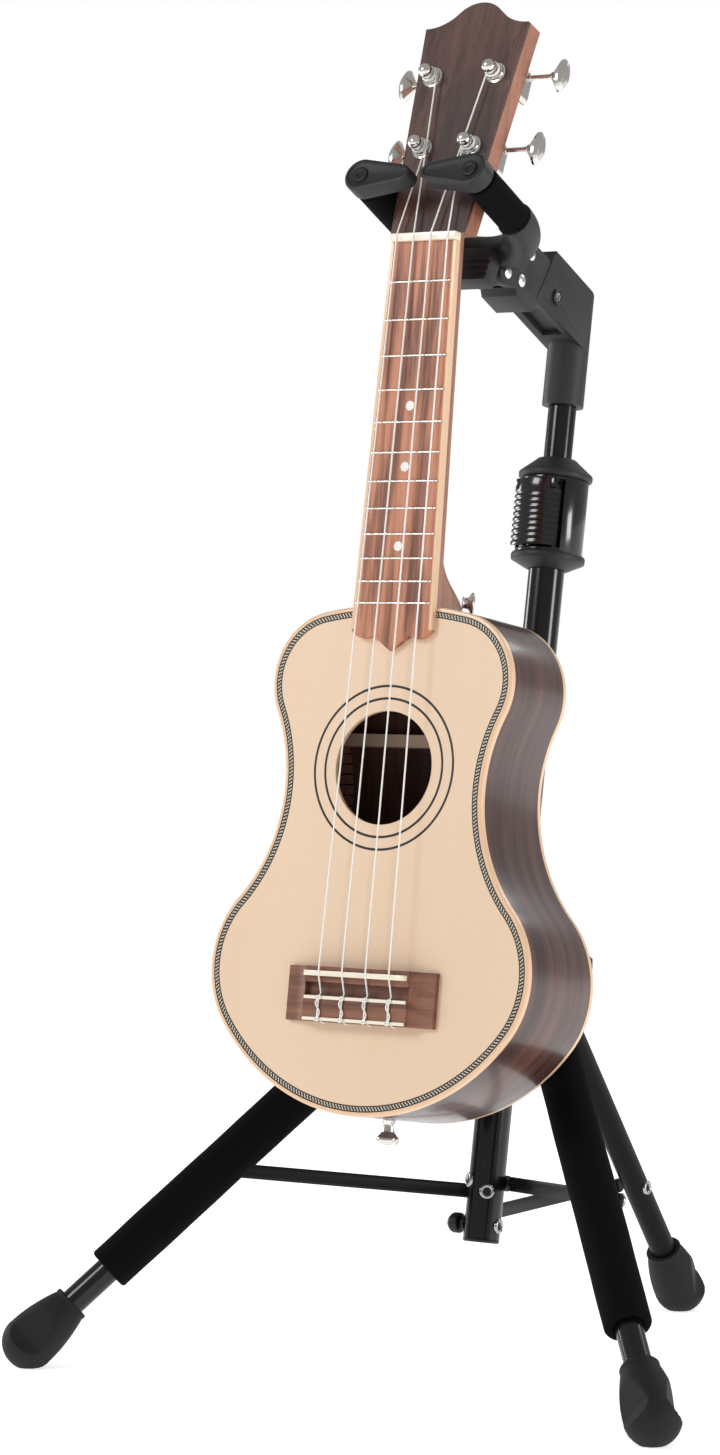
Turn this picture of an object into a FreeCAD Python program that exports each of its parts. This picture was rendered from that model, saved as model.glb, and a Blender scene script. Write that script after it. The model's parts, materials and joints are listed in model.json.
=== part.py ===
"""A soprano ukulele that hangs by its headstock in the yoke of a small folding tripod stand.

Units are millimetres.  The stand's mast leans back, the ukulele hangs in front of it with its
soundboard facing -Y, and the three rubber feet stand on the plane z = 0.

Four local frames are used, all with x to the right, y to the back and z up:
  MAST   origin at the foot of the mast, z along the mast
  YOKE   origin on the mast axis where the plane of the yoke's arms crosses it, y along the arms
  UKE    origin at the front edge of the nut, on the face of the fretboard, z up the neck
  HEAD   origin at the nut, on the face of the headstock, z up the headstock
A leg frame has x away from the mast, z along the mast and y square to both.
"""
import FreeCAD
import Part
import math
import os
from FreeCAD import Placement, Rotation, Vector

# ---------------------------------------------------------------- driving dimensions
# clearances
run_fit = 0.05            # radial play of a pin or shaft in its bore
part_gap = 0.3            # between faces of different moving bodies
foam_gap = 0.45           # between foam and what passes beside it

# mast and its lean
mast_lean = 10.2          # degrees back from upright
mast_foot_z = 60.5        # height of the mast's foot above the floor
lower_tube_r = 8.9
lower_tube_wall = 1.2
lower_tube_len = 366.0
upper_tube_r = 7.0
upper_tube_wall = 1.0
upper_tube_low = 150.0    # where the upper tube's lower end sits inside the lower tube
upper_tube_in_elbow = 28.0
bush_len = 16.0
plug_flange = 1.6
plug_depth = 3.0

# height clutch
clutch_low = 330.3        # lower end of the lower cap
clutch_body_low = 338.0
clutch_body_high = 375.5
clutch_high = 386.0       # upper end of the upper cap
clutch_r = 16.8
clutch_cap_r = 18.4
clutch_wall = 2.6
trigger_half_angle = 38.0
trigger_out = 20.4        # the trigger's outer face from the mast axis
trigger_thick = 4.2
trigger_travel = 5.0      # degrees of squeeze
trigger_pin_r = 1.2
lock_plate_thick = 2.0
spring_wire = 0.9

# elbow, bracket and yoke (YOKE frame)
yoke_lean = 27.5          # degrees the arms rise towards the front
elbow_s = 446.0           # where the arms' plane crosses the mast axis
sleeve_low = 413.0
sleeve_r = 10.35
elbow_half = 10.4
elbow_front = -50.5
elbow_bottom = -5.0
elbow_top = 24.5
elbow_slope = 5.0         # how far the top of the elbow's front face leans back
elbow_bolt_at = (-34.9, 4.5)
tongue_half = 5.6
bracket_half = 10.2
bracket_front = -71.8
bracket_low = -13.5
bracket_high = 17.5
bracket_lobe_r = 6.4
lobe_back_at = (-66.0, -3.0)
rivet_a_at = (-64.7, 11.0)
rivet_c_at = (-66.7, -5.0)
tilt_pin_at = (-79.4, -7.8)
tilt_pin_r = 2.2
tilt_travel = 10.0        # degrees the yoke rises when nothing hangs in it
rivet_r = 2.4
lug_half = 5.2
yoke_reach = 159.5        # mast axis to the front of the gates
arm_half_gap = 30.6       # arm axis from the middle
arm_core_r = 5.6
arm_foam_r = 8.3
arm_foam_len = 35.0
yoke_tube_r = 8.9
gate_thick = 9.6
gate_r = 8.6
gate_tip_r = 4.6
gate_reach = 22.6         # pivot to the centre of the tip's round
gate_screw_r = 3.4
gate_shank_r = 2.2
knuckle_half = 10.0       # the ribbed block under the yoke

# tripod
hub_s = 143.4             # leg pivots' height on the mast
front_pivot_r = 22.0
rear_pivot_r = 24.0
front_leg_angle = 41.6    # degrees from the mast
rear_leg_angle = 48.3
front_azimuth = 35.2      # degrees the front legs point forward of the x axis
hub_slide = 172.0         # travel of the hub that would lay the legs flat on the mast
hub_stop = 4.0            # the hub stops this far short of it
hub_core_r = 13.0
hub_up = 10.5
hub_down = 20.0
ear_thick = 3.0
leg_tube_r = 6.5
leg_tube_wall = 1.0
leg_foam_r = 11.1
front_foam_from = 28.0
front_foam_to = 236.0
foot_ball_r = 13.5
foot_ball_z = 12.2        # height of the ball's centre; the floor cuts a flat on it
foot_len = 28.0
foot_collar_r = 9.3
foot_wall = 2.4
hub_pin_r = 2.5
knob_s_below = 10.0
knob_from = 27.0
knob_out = 41.0
knob_r = 10.5
knob_stud_r = 3.0
knob_azimuth = 27.4       # degrees the knob points to the back of the x axis

# braces
brace_s = {"left": 23.1, "right": 28.1, "rear": 6.9}
brace_half_width = 3.5
rear_crank_out = 7.0      # the rear brace is cranked out to pass the left one
rear_crank_from = 6.0     # plain length at each end, beyond its pivot
rear_crank_run = 12.0
brace_thick = 2.0
brace_pin_r = 2.0
eyelet_r = 3.4
eyelet_lip = 0.8
cap_r = 5.0
cap_high = 6.6

# ukulele (UKE frame)
uke_lean = 8.5
nut_y = -136.7            # in the YOKE frame
nut_z = -24.5
scale_len = 346.0
body_frets = 12
last_fret = 12
board_thick = 3.5
board_half_nut = 18.2
board_half_body = 22.2
board_over_body = 12.5
board_point = 10.0
fret_inset = 1.9
fret_wide = 1.3
fret_high = 0.9
fret_tang = 1.4
nut_thick = 3.8
nut_high = 1.9
neck_deep_nut = 14.0
neck_deep_body = 15.5
upper_half = 67.0
upper_at = 36.8
waist_half = 55.5
waist_at = 86.8
lower_half = 88.9
lower_at = 173.0
upper_bout_r = 33.5
body_len = 240.8
body_deep_neck = 46.8
body_deep_tail = 63.5
plate_thick = 2.2
side_thick = 1.9
binding_wide = 2.0
binding_high = 3.0
hole_at = 77.4
hole_r = 26.9
lining_wide = 4.0
lining_high = 6.0
block_deep = 14.0
bridge_from = 172.2
bridge_to = 198.0
bridge_half = 41.0
bridge_wing = 3.0
bridge_block_half = 29.0
bridge_block_high = 7.6
saddle_at = 175.6
saddle_half = 28.0
saddle_thick = 2.4
saddle_high = 2.6
string_r = 0.4
string_gap_nut = 9.6
string_gap_saddle = 13.1
strap_button_r = 5.4

# headstock (HEAD frame)
head_angle = 14.7
head_half_low = 19.6
head_half_high = 29.2
head_len = 115.8
head_crest = 12.5
head_thick = 9.4
veneer_thick = 1.8
post_high_at = (17.9, 88.3)
post_low_at = (13.8, 49.5)
post_r = 3.0
post_stand = 7.6
coil_out = 3.87           # string coil above the veneer
ferrule_r = 4.7
ferrule_high = 1.6
housing_x = 6.8
housing_up = 10.6
housing_down = 6.6
housing_deep = 9.0
worm_up = 5.7             # worm shaft above the post
worm_r = 1.5
pinion_r = 3.7
button_from = 20.6        # post to the button's inner face
button_long = 8.8
button_half_wide = 4.2
button_half_high = 8.8

# ---------------------------------------------------------------- small helpers
X = Vector(1, 0, 0)
Y = Vector(0, 1, 0)
Z = Vector(0, 0, 1)


def lean(degrees):
    """Turn about x so that a frame's z axis leans to the back."""
    return Rotation(X, -degrees)


def put(shape, frame):
    moved = shape.copy()
    moved.Placement = frame.multiply(moved.Placement)
    return moved


def box(x0, x1, y0, y1, z0, z1):
    return Part.makeBox(x1 - x0, y1 - y0, z1 - z0, Vector(x0, y0, z0))


def rod(radius, start, end):
    """A cylinder from one point to another."""
    axis = end - start
    return Part.makeCylinder(radius, axis.Length, start, axis)


def pipe(outer, inner, start, end):
    return rod(outer, start, end).cut(rod(inner, start, end))


def fuse(shapes):
    joined = shapes[0].fuse(shapes[1:]) if len(shapes) > 1 else shapes[0]
    return joined.removeSplitter()


def turned(profile, frame):
    """Turn a profile of (radius, height) points about the frame's z axis."""
    points = [Vector(r, 0, h) for r, h in profile]
    face = Part.Face(Part.makePolygon(points + points[:1]))
    return put(face.revolve(Vector(0, 0, 0), Z, 360), frame)


def plate_yz(points, x0, x1):
    """A flat plate with a straight-sided outline in y and z, between two x values."""
    corners = [Vector(x0, y, z) for y, z in points]
    face = Part.Face(Part.makePolygon(corners + corners[:1]))
    return face.extrude(Vector(x1 - x0, 0, 0))


def slot_plate(a, b, radius_a, radius_b, normal, thick):
    """A flat bar between two points with round ends, one radius at each end."""
    along = b - a
    length = along.Length
    along.normalize()
    across = normal.cross(along)
    tilt = (radius_a - radius_b) / length
    side = math.sqrt(1 - tilt * tilt)
    up = along * tilt + across * side
    down = along * tilt - across * side
    edges = [
        Part.LineSegment(a + up * radius_a, b + up * radius_b).toShape(),
        Part.Arc(b + up * radius_b, b + along * radius_b, b + down * radius_b).toShape(),
        Part.LineSegment(b + down * radius_b, a + down * radius_a).toShape(),
        Part.Arc(a + down * radius_a, a - along * radius_a, a + up * radius_a).toShape(),
    ]
    return Part.Face(Part.Wire(edges)).extrude(normal * thick)


def group(shapes):
    return shapes[0] if len(shapes) == 1 else Part.makeCompound(shapes)


# ---------------------------------------------------------------- frames
MAST = Placement(Vector(0, 0, mast_foot_z), lean(mast_lean))
YOKE = MAST.multiply(Placement(Vector(0, 0, elbow_s), lean(yoke_lean - mast_lean)))
UKE = YOKE.multiply(Placement(Vector(0, nut_y, nut_z), lean(uke_lean - yoke_lean)))
HEAD = UKE.multiply(Placement(Vector(0, 0.7, 0), lean(head_angle)))

LEG_TURN = {"right": -front_azimuth, "left": 180 + front_azimuth, "rear": 90.0}
LEG_FRAME = {
    name: MAST.multiply(Placement(Vector(0, 0, 0), Rotation(Z, turn)))
    for name, turn in LEG_TURN.items()
}
LEG_ANGLE = {"left": front_leg_angle, "right": front_leg_angle, "rear": rear_leg_angle}
PIVOT_R = {"left": front_pivot_r, "right": front_pivot_r, "rear": rear_pivot_r}
BRACE_SIDE = {"left": -1, "right": 1, "rear": 1}
LEG_WIDE = {"left": leg_foam_r, "right": leg_foam_r, "rear": leg_tube_r}


def leg_pivot(name):
    return Vector(PIVOT_R[name], 0, hub_s)


def leg_axis(name):
    angle = math.radians(LEG_ANGLE[name])
    return Vector(math.sin(angle), 0, -math.cos(angle))


def leg_reach(name):
    """Pivot to the centre of the foot's ball, so that the ball is at its height."""
    start = LEG_FRAME[name].multVec(leg_pivot(name))
    way = LEG_FRAME[name].Rotation.multVec(leg_axis(name))
    return (foot_ball_z - start.z) / way.z


def brace_join(name):
    """Distance down the leg to its brace, chosen so that the fold ends with the leg along the mast."""
    angle = math.radians(LEG_ANGLE[name])
    rise = hub_s - brace_s[name]
    folded = rise + hub_slide
    lever = PIVOT_R[name] * math.sin(angle) - rise * math.cos(angle)
    return (folded ** 2 - rise ** 2) / (2 * (folded + lever))


def brace_ends(name):
    """The brace's pivot on the mast and its rivet at the leg, in the leg frame's plane."""
    inner = Vector(0, 0, brace_s[name])
    outer = leg_pivot(name) + leg_axis(name) * brace_join(name)
    return inner, outer


def brace_fold(name):
    """Degrees that the brace swings up while the leg folds flat."""
    inner, outer = brace_ends(name)
    length = (outer - inner).Length
    opened = math.degrees(math.asin((outer.z - inner.z) / length))
    folded = math.degrees(math.acos(PIVOT_R[name] / length))
    return folded - opened


def brace_inner_face(name):
    """Offset of the brace's face that is nearer to the leg's plane."""
    beside_leg = LEG_WIDE[name] + foam_gap
    beside_mast = lower_tube_r + part_gap
    return max(beside_leg, beside_mast)


# ---------------------------------------------------------------- mast
def lower_tube():
    tube = pipe(lower_tube_r, lower_tube_r - lower_tube_wall, Vector(0, 0, 0), Z * lower_tube_len)
    return put(tube.cut(pin_holes()), MAST)


def pin_holes():
    holes = []
    for name in brace_s:
        hole = rod(brace_pin_r, Y * -2 * lower_tube_r, Y * 2 * lower_tube_r)
        turn = Placement(Z * brace_s[name], Rotation(Z, LEG_TURN[name]))
        holes.append(put(hole, turn))
    return Part.makeCompound(holes)


def mast_plug():
    bore = lower_tube_r - lower_tube_wall
    profile = [(0, -plug_flange), (lower_tube_r - 0.6, -plug_flange), (lower_tube_r, -plug_flange + 0.6),
               (lower_tube_r, 0), (bore, 0), (bore, plug_depth), (0, plug_depth)]
    return turned(profile, MAST)


def upper_tube():
    top = elbow_s + upper_tube_in_elbow - 24.0
    tube = pipe(upper_tube_r, upper_tube_r - upper_tube_wall, Z * upper_tube_low, Z * top)
    return put(tube, MAST)


def tube_bush():
    outer = lower_tube_r - lower_tube_wall - run_fit
    low = upper_tube_low
    ring = pipe(outer, upper_tube_r, Z * low, Z * (low + bush_len))
    floor = pipe(outer, 3.0, Z * (low - 1.5), Z * low)
    return put(fuse([ring, floor]), MAST)


# ---------------------------------------------------------------- height clutch
def clutch_core():
    """Room inside the housing for the tubes, the lock plates and the spring."""
    room_r = clutch_r - clutch_wall - 3.0
    lower = rod(lower_tube_r, Z * 0, Z * lower_tube_len)
    upper = rod(upper_tube_r + part_gap, Z * 0, Z * (clutch_high + 5))
    room = rod(room_r, Z * (lower_tube_len - 14), Z * (clutch_body_high - 1.0))
    return lower.fuse([upper, room])


def trigger_sector(outer, z0, z1, spread):
    """A slice of a cylinder that faces the front, spread degrees to each side."""
    reach = outer * 2
    angle = math.radians(spread)
    points = [Vector(0, 0, z0), Vector(-reach * math.sin(angle), -reach * math.cos(angle), z0),
              Vector(reach * math.sin(angle), -reach * math.cos(angle), z0)]
    wedge = Part.Face(Part.makePolygon(points + points[:1])).extrude(Z * (z1 - z0))
    return wedge.common(rod(outer, Z * z0, Z * z1))


def trigger_pivot():
    return Vector(0, -trigger_out + trigger_thick + 0.5, clutch_body_high - 4.5)


def trigger_ears(gap):
    """The two ears that carry the trigger's pin, grown by a gap."""
    pivot = trigger_pivot()
    ears = []
    for x0, x1 in ((-10.5, -7.5), (7.5, 10.5)):
        ears.append(box(x0 - gap, x1 + gap, pivot.y - 2.2 - gap, pivot.y + 6.0,
                        pivot.z - 2.2 - gap, pivot.z + 2.2 + gap))
    return ears


def clutch_housing():
    body = rod(clutch_r, Z * clutch_body_low, Z * clutch_body_high)
    side = trigger_out * math.sin(math.radians(trigger_half_angle)) + part_gap
    pocket = box(-side, side, -trigger_out - 2, -8.5, clutch_body_low + 1.6, clutch_body_high - 1.6)
    pocket = pocket.cut(rod(trigger_out - trigger_thick - 3.6, Z * 0, Z * clutch_high))
    pivot = trigger_pivot()
    pin = rod(trigger_pin_r, pivot - X * 9.0, pivot + X * 9.0)
    return put(fuse([body.cut(pocket), pin] + trigger_ears(0)).cut(clutch_core()), MAST)


def clutch_trigger():
    low = clutch_body_low + 2.2
    high = clutch_body_high - 2.2
    shell = trigger_sector(trigger_out, low, high, trigger_half_angle)
    shell = shell.cut(rod(trigger_out - trigger_thick, Z * 0, Z * clutch_high))
    count = 9
    pitch = (high - low - 7.0) / count
    for step in range(count):
        z = low + 2.0 + pitch * step
        groove = pipe(trigger_out + 1, trigger_out - 0.8, Z * z, Z * (z + pitch * 0.45))
        shell = shell.cut(groove)
    pivot = trigger_pivot()
    shell = shell.cut(trigger_ears(0.5))
    shell = fuse([shell, rod(trigger_pin_r + 1.1, pivot - X * 6.0, pivot + X * 6.0)])
    return put(shell.cut(rod(trigger_pin_r + run_fit, pivot - X * 30, pivot + X * 30)), MAST)


def clutch_caps():
    tube = lower_tube_r
    lower = [(tube, clutch_low), (tube + 1.2, clutch_low), (clutch_cap_r, clutch_body_low - 3.4),
             (clutch_cap_r, clutch_body_low - 0.8), (clutch_cap_r - 0.6, clutch_body_low),
             (tube, clutch_body_low)]
    inner = upper_tube_r + part_gap
    top = clutch_body_high
    upper = [(inner, top), (clutch_cap_r - 0.6, top), (clutch_cap_r, top + 0.7),
             (clutch_cap_r, top + 3.0), (inner + 4.0, clutch_high - 1.6), (inner + 2.2, clutch_high),
             (inner, clutch_high)]
    return group([turned(lower, MAST), turned(upper, MAST)])


def clutch_plates():
    """Two plates with a hole just larger than the upper tube; tilted by the spring, they grip it."""
    room_r = clutch_r - clutch_wall - 3.3
    plates = []
    for step in range(2):
        low = lower_tube_len + 0.4 + step * (lock_plate_thick + 0.5)
        plates.append(put(pipe(room_r, upper_tube_r + 2 * run_fit, Z * low, Z * (low + lock_plate_thick)), MAST))
    return group(plates)


def clutch_spring():
    """The coil under the lock plates, as one closed ring of its mean diameter."""
    middle = Z * (lower_tube_len - 3.0)
    ring = Part.makeTorus(lower_tube_r + spring_wire + 0.35, spring_wire, middle, Z)
    return put(ring, MAST)


# ---------------------------------------------------------------- elbow and bracket
def elbow_arm():
    """The square arm of the elbow, in the YOKE frame; it runs back into the sleeve."""
    outline = [(elbow_front, elbow_bottom), (elbow_front + elbow_slope, elbow_top),
               (2.0, elbow_top), (2.0, elbow_bottom)]
    return plate_yz(outline, -elbow_half, elbow_half)


def elbow_block():
    arm = put(elbow_arm(), YOKE)
    sleeve = put(rod(sleeve_r, Z * sleeve_low, Z * (elbow_s + 60)), MAST)
    above = put(box(-40, 40, -60, 60, elbow_top, 120), YOKE)
    back = put(box(-40, 40, 0, 40, 0, 600), MAST)
    body = fuse([arm.cut(back), sleeve.cut(above)])
    tube_room = put(rod(upper_tube_r, Z * 0, Z * (elbow_s + upper_tube_in_elbow - 24.0)), MAST)
    socket = put(box(-tongue_half, tongue_half, elbow_front - 5, -24.0,
                     elbow_bottom + 5, elbow_top - 5), YOKE)
    window = put(box(-6.0, 6.0, -41.0, -15.0, elbow_bottom - 5, elbow_bottom + 3.0), YOKE)
    y, z = elbow_bolt_at
    bolt = put(rod(2.0, Vector(-30, y, z), Vector(30, y, z)), YOKE)
    return body.cut([tube_room, socket, window, bolt])


def yoke_bracket():
    """A solid block with a tongue into the elbow and a fork that holds the yoke's lug."""
    chamfer = 5.0
    outline = [(bracket_front, bracket_low + chamfer), (bracket_front + chamfer, bracket_low),
               (elbow_front - 1.0, bracket_low), (elbow_front, bracket_low + 2.0),
               (elbow_front, elbow_bottom), (elbow_front + elbow_slope - 1.6, bracket_high - 2),
               (elbow_front + elbow_slope - 3, bracket_high), (bracket_front + 5, bracket_high),
               (bracket_front, bracket_high - 5)]
    block = plate_yz(outline, -bracket_half, bracket_half)
    y, z = tilt_pin_at
    lobe = slot_plate(Vector(-bracket_half, y, z), Vector(-bracket_half, *lobe_back_at),
                      bracket_lobe_r, bracket_lobe_r, X, 2 * bracket_half)
    clear_lug = rod(lug_sweep_r(), Vector(-lug_half - part_gap, y, z), Vector(lug_half + part_gap, y, z))
    slot = box(-lug_half - part_gap, lug_half + part_gap, y - 20, bracket_front, -40, 40)
    elbow_face = put(elbow_arm(), Placement())
    tongue = box(-tongue_half + run_fit, tongue_half - run_fit, elbow_front - 4, -24.5,
                 elbow_bottom + 5 + run_fit, elbow_top - 5 - run_fit)
    body = fuse([block.cut(elbow_face), lobe.cut(elbow_face)]).cut([clear_lug, slot]).fuse(tongue)
    holes = [rod(tilt_pin_r, Vector(-30, y, z), Vector(30, y, z))]
    for at in (rivet_a_at, rivet_c_at):
        holes.append(rod(rivet_r, Vector(-30, *at), Vector(30, *at)))
    holes.append(rod(2.0, Vector(-30, *elbow_bolt_at), Vector(30, *elbow_bolt_at)))
    return put(body.cut(holes).removeSplitter(), YOKE)


def lug_sweep_r():
    return bracket_lobe_r + 0.8


def headed_pin(at, radius, half, head_r, head_high):
    """A pin across the yoke with a low domed head at each end."""
    y, z = at
    shank = rod(radius, Vector(-half, y, z), Vector(half, y, z))
    heads = [Part.makeCone(head_r, head_r * 0.7, head_high, Vector(sign * half, y, z), X * sign)
             for sign in (-1, 1)]
    return fuse([shank] + heads)


def head_fasteners():
    """The bolt through the elbow with its ring nuts, and the bracket's two rivets."""
    bolt = headed_pin(elbow_bolt_at, 2.0, elbow_half, 3.6, 0.9)
    y, z = elbow_bolt_at
    bolt = bolt.cut(rod(1.1, Vector(elbow_half - 1, y, z), Vector(elbow_half + 5, y, z)))
    rivets = [headed_pin(at, rivet_r, bracket_half, 3.0, 0.9) for at in (rivet_a_at, rivet_c_at)]
    return group([put(shape, YOKE) for shape in [bolt] + rivets])


# ---------------------------------------------------------------- yoke and gates
bend_y = -yoke_reach + 0.5 + gate_thick + arm_foam_len + 0.6


def yoke_fork():
    """Two arms joined by a half-round bend, with a lug for the tilt pin and a ribbed knuckle."""
    core_front = -yoke_reach + gate_thick + part_gap + 0.5
    end = Part.Face(Part.Wire(Part.makeCircle(yoke_tube_r, Vector(arm_half_gap, bend_y, 0), Y)))
    solids = [end.revolve(Vector(0, bend_y, 0), Z, 180)]
    for sign in (-1, 1):
        x = sign * arm_half_gap
        solids.append(rod(arm_core_r, Vector(x, core_front, 0), Vector(x, bend_y + 1, 0)))
    y, z = tilt_pin_at
    lug = slot_plate(Vector(-lug_half, y, z), Vector(-lug_half, y - 4, 1.0),
                     bracket_lobe_r, yoke_tube_r - 1, X, 2 * lug_half)
    knuckle = box(-knuckle_half, knuckle_half, y - 17.0, y - 7.6, -21.5, -4.0)
    body = fuse(solids + [knuckle])
    grooves = [box(-knuckle_half - 1, knuckle_half + 1, y - 18, y - 16.2, low, low + 1.6)
               for low in (-19.5, -16.0, -12.5)]
    body = body.cut(grooves)
    side_room = 40.0
    for sign in (-1, 1):
        near = sign * lug_half
        far = sign * (bracket_half + 0.8)
        x0, x1 = min(near, far), max(near, far)
        back_room = box(x0, x1, y, y + side_room, z - side_room, z + bracket_lobe_r + 2.2)
        sweep = [back_room]
        for step in range(5):
            turn = Rotation(X, tilt_travel * step / 4)
            far = Vector(x0, y, z) + turn.multVec(Vector(0, *lobe_back_at) - Vector(0, y, z))
            sweep.append(slot_plate(Vector(x0, y, z), far, bracket_lobe_r + 0.8, bracket_lobe_r + 0.8, X, x1 - x0))
        body = body.cut(sweep)
    body = body.fuse(lug).cut(rod(tilt_pin_r + run_fit, Vector(-30, y, z), Vector(30, y, z)))
    bores = [rod(gate_shank_r + run_fit, Vector(sign * arm_half_gap, core_front - 1, 0),
                 Vector(sign * arm_half_gap, core_front + 12, 0)) for sign in (-1, 1)]
    return put(body.cut(bores).removeSplitter(), YOKE)


def yoke_foam():
    sleeves = []
    front = bend_y - arm_foam_len
    for sign in (-1, 1):
        x = sign * arm_half_gap
        sleeves.append(put(pipe(arm_foam_r, arm_core_r, Vector(x, front, 0), Vector(x, bend_y - 0.1, 0)), YOKE))
    return group(sleeves)


def tilt_pin():
    return put(headed_pin(tilt_pin_at, tilt_pin_r, bracket_half, 3.0, 0.9), YOKE)


def gate(sign):
    """A closed gate: a plate from the arm's end towards the middle, with its pivot screw."""
    front = -yoke_reach
    pivot = Vector(sign * arm_half_gap, front, 0)
    tip = pivot + X * (-sign * gate_reach)
    plate = slot_plate(pivot, tip, gate_r, gate_tip_r, Y, gate_thick)
    plate = plate.cut(rod(gate_shank_r, pivot, pivot + Y * 30))
    plate = plate.cut(rod(gate_screw_r, pivot, pivot + Y * 3.0))
    head = rod(gate_screw_r, pivot + Y * 0.6, pivot + Y * 3.0)
    shank = rod(gate_shank_r, pivot + Y * 2.9, pivot + Y * (gate_thick + part_gap + 9.0))
    return group([put(plate, YOKE), put(fuse([head, shank]), YOKE)])


# ---------------------------------------------------------------- hub and legs
def leg_hub():
    core = rod(hub_core_r, Z * (hub_s - hub_down), Z * (hub_s + hub_up))
    solids = [core]
    gap_half = leg_tube_r + part_gap
    cuts = [rod(lower_tube_r + run_fit, Z * 0, Z * lower_tube_len)]
    for name in LEG_TURN:
        turn = Placement(Vector(0, 0, 0), Rotation(Z, LEG_TURN[name]))
        pivot = leg_pivot(name)
        for sign in (-1, 1):
            start = pivot + Y * (sign * gap_half)
            inner = Vector(hub_core_r - 3.0, sign * gap_half, hub_s)
            ear = slot_plate(inner, start, 6.5, 6.5, Y * sign, ear_thick)
            solids.append(put(ear, turn))
        cuts.append(put(rod(hub_pin_r, pivot - Y * 20, pivot + Y * 20), turn))
        cuts.append(put(box(hub_core_r + 0.1, 60, -gap_half, gap_half, hub_s - 30, hub_s + 30), turn))
    boss_axis = knob_direction()
    base = Z * (hub_s - knob_s_below)
    solids.append(rod(7.0, base + boss_axis * 9.5, base + boss_axis * (knob_from - 2.0)))
    cuts.append(rod(knob_stud_r + run_fit, base, base + boss_axis * 40))
    return put(fuse(solids).cut(cuts).removeSplitter(), MAST)


def knob_direction():
    angle = math.radians(knob_azimuth)
    return Vector(math.cos(angle), math.sin(angle), 0)


def hub_pins():
    half = leg_tube_r + part_gap + ear_thick
    pins = []
    for name in LEG_TURN:
        pivot = leg_pivot(name)
        shank = rod(hub_pin_r, pivot - Y * half, pivot + Y * half)
        heads = [rod(hub_pin_r + 1.2, pivot + Y * (sign * half), pivot + Y * (sign * (half + 1.0)))
                 for sign in (-1, 1)]
        pins.append(put(fuse([shank] + heads), LEG_FRAME[name]))
    return group(pins)


def hub_knob():
    """The knob that locks the hub on the mast, with its threaded stud."""
    base = Z * (hub_s - knob_s_below)
    axis = knob_direction()
    knob = rod(knob_r, base + axis * knob_from, base + axis * (knob_out - 4.0))
    dome = Part.makeCone(knob_r, knob_r - 3.0, 4.0, base + axis * (knob_out - 4.0), axis)
    stud = rod(knob_stud_r, base + axis * (lower_tube_r + 0.3), base + axis * (knob_from + 0.5))
    scallops = []
    around = Rotation(axis, 1)
    start = Z * (knob_r + 3.4)
    for step in range(8):
        turn = Rotation(axis, 45.0 * step)
        spot = base + turn.multVec(start)
        scallops.append(rod(4.4, spot + axis * (knob_from - 1), spot + axis * (knob_out + 1)))
    return put(fuse([knob, dome]).cut(scallops).fuse(stud).removeSplitter(), MAST)


def leg_tube(name):
    pivot = leg_pivot(name)
    axis = leg_axis(name)
    end = pivot + axis * leg_reach(name)
    tube = rod(leg_tube_r, pivot, end)
    top = rod(leg_tube_r - 0.05, pivot - Y * leg_tube_r, pivot + Y * leg_tube_r)
    hollow = rod(leg_tube_r - leg_tube_wall, pivot + axis * 16.0, end + axis)
    eye = rod(hub_pin_r + run_fit, pivot - Y * 20, pivot + Y * 20)
    return put(tube.fuse(top).cut([hollow, eye]).removeSplitter(), LEG_FRAME[name])


def leg_foam(name):
    pivot = leg_pivot(name)
    axis = leg_axis(name)
    sleeve = pipe(leg_foam_r, leg_tube_r, pivot + axis * front_foam_from, pivot + axis * front_foam_to)
    return put(sleeve, LEG_FRAME[name])


def foot(name):
    """A boot-shaped rubber foot with a flat where it meets the floor."""
    pivot = leg_pivot(name)
    axis = leg_axis(name)
    centre = pivot + axis * leg_reach(name)
    collar = centre - axis * foot_len
    swell = Part.makeCone(foot_collar_r, foot_ball_r * 0.97, foot_len - 3.0, collar, axis)
    ball = Part.makeSphere(foot_ball_r, centre)
    body = swell.fuse(ball).cut(rod(leg_tube_r, collar - axis, centre))
    body = put(body, LEG_FRAME[name])
    floor = Part.makeBox(800, 800, 40, Vector(-400, -400, -40))
    return body.cut(floor)


# ---------------------------------------------------------------- braces
def cranked_bar(start, end, normal):
    """A flat bar that steps outwards between its plain, round ends."""
    way = (end - start).normalize()
    length = (end - start).Length
    wide = way.cross(normal)
    path = [(-brace_half_width - 1, 0), (rear_crank_from, 0), (rear_crank_from + rear_crank_run, rear_crank_out),
            (length - rear_crank_from - rear_crank_run, rear_crank_out), (length - rear_crank_from, 0),
            (length + brace_half_width + 1, 0)]
    outline = path + [(run, out + brace_thick) for run, out in reversed(path)]
    points = [start + way * run + normal * out - wide * brace_half_width for run, out in outline]
    strip = Part.Face(Part.makePolygon(points + points[:1])).extrude(wide * (2 * brace_half_width))
    ends = slot_plate(start, end, brace_half_width, brace_half_width, normal, rear_crank_out + brace_thick)
    return strip.common(ends)


def brace(name):
    """A flat bar with round ends, and the rivet that its outer end carries."""
    side = BRACE_SIDE[name]
    inner, outer = brace_ends(name)
    face = brace_inner_face(name)
    offset = Y * (side * face)
    if name == "rear":
        bar = cranked_bar(inner + offset, outer + offset, Y * side)
    else:
        bar = slot_plate(inner + offset, outer + offset, brace_half_width, brace_half_width,
                         Y * side, brace_thick)
    bar = bar.cut(rod(brace_pin_r + run_fit, inner - Y * 40, inner + Y * 40))
    bar = bar.cut(rod(brace_pin_r, outer - Y * 40, outer + Y * 40))
    shank = rod(brace_pin_r, outer + offset, outer + offset + Y * (side * (brace_thick + 0.2)))
    head = rod(eyelet_r, outer + offset + Y * (side * brace_thick),
               outer + offset + Y * (side * (brace_thick + eyelet_lip)))
    return group([put(bar, LEG_FRAME[name]), put(fuse([shank, head]), LEG_FRAME[name])])


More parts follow.
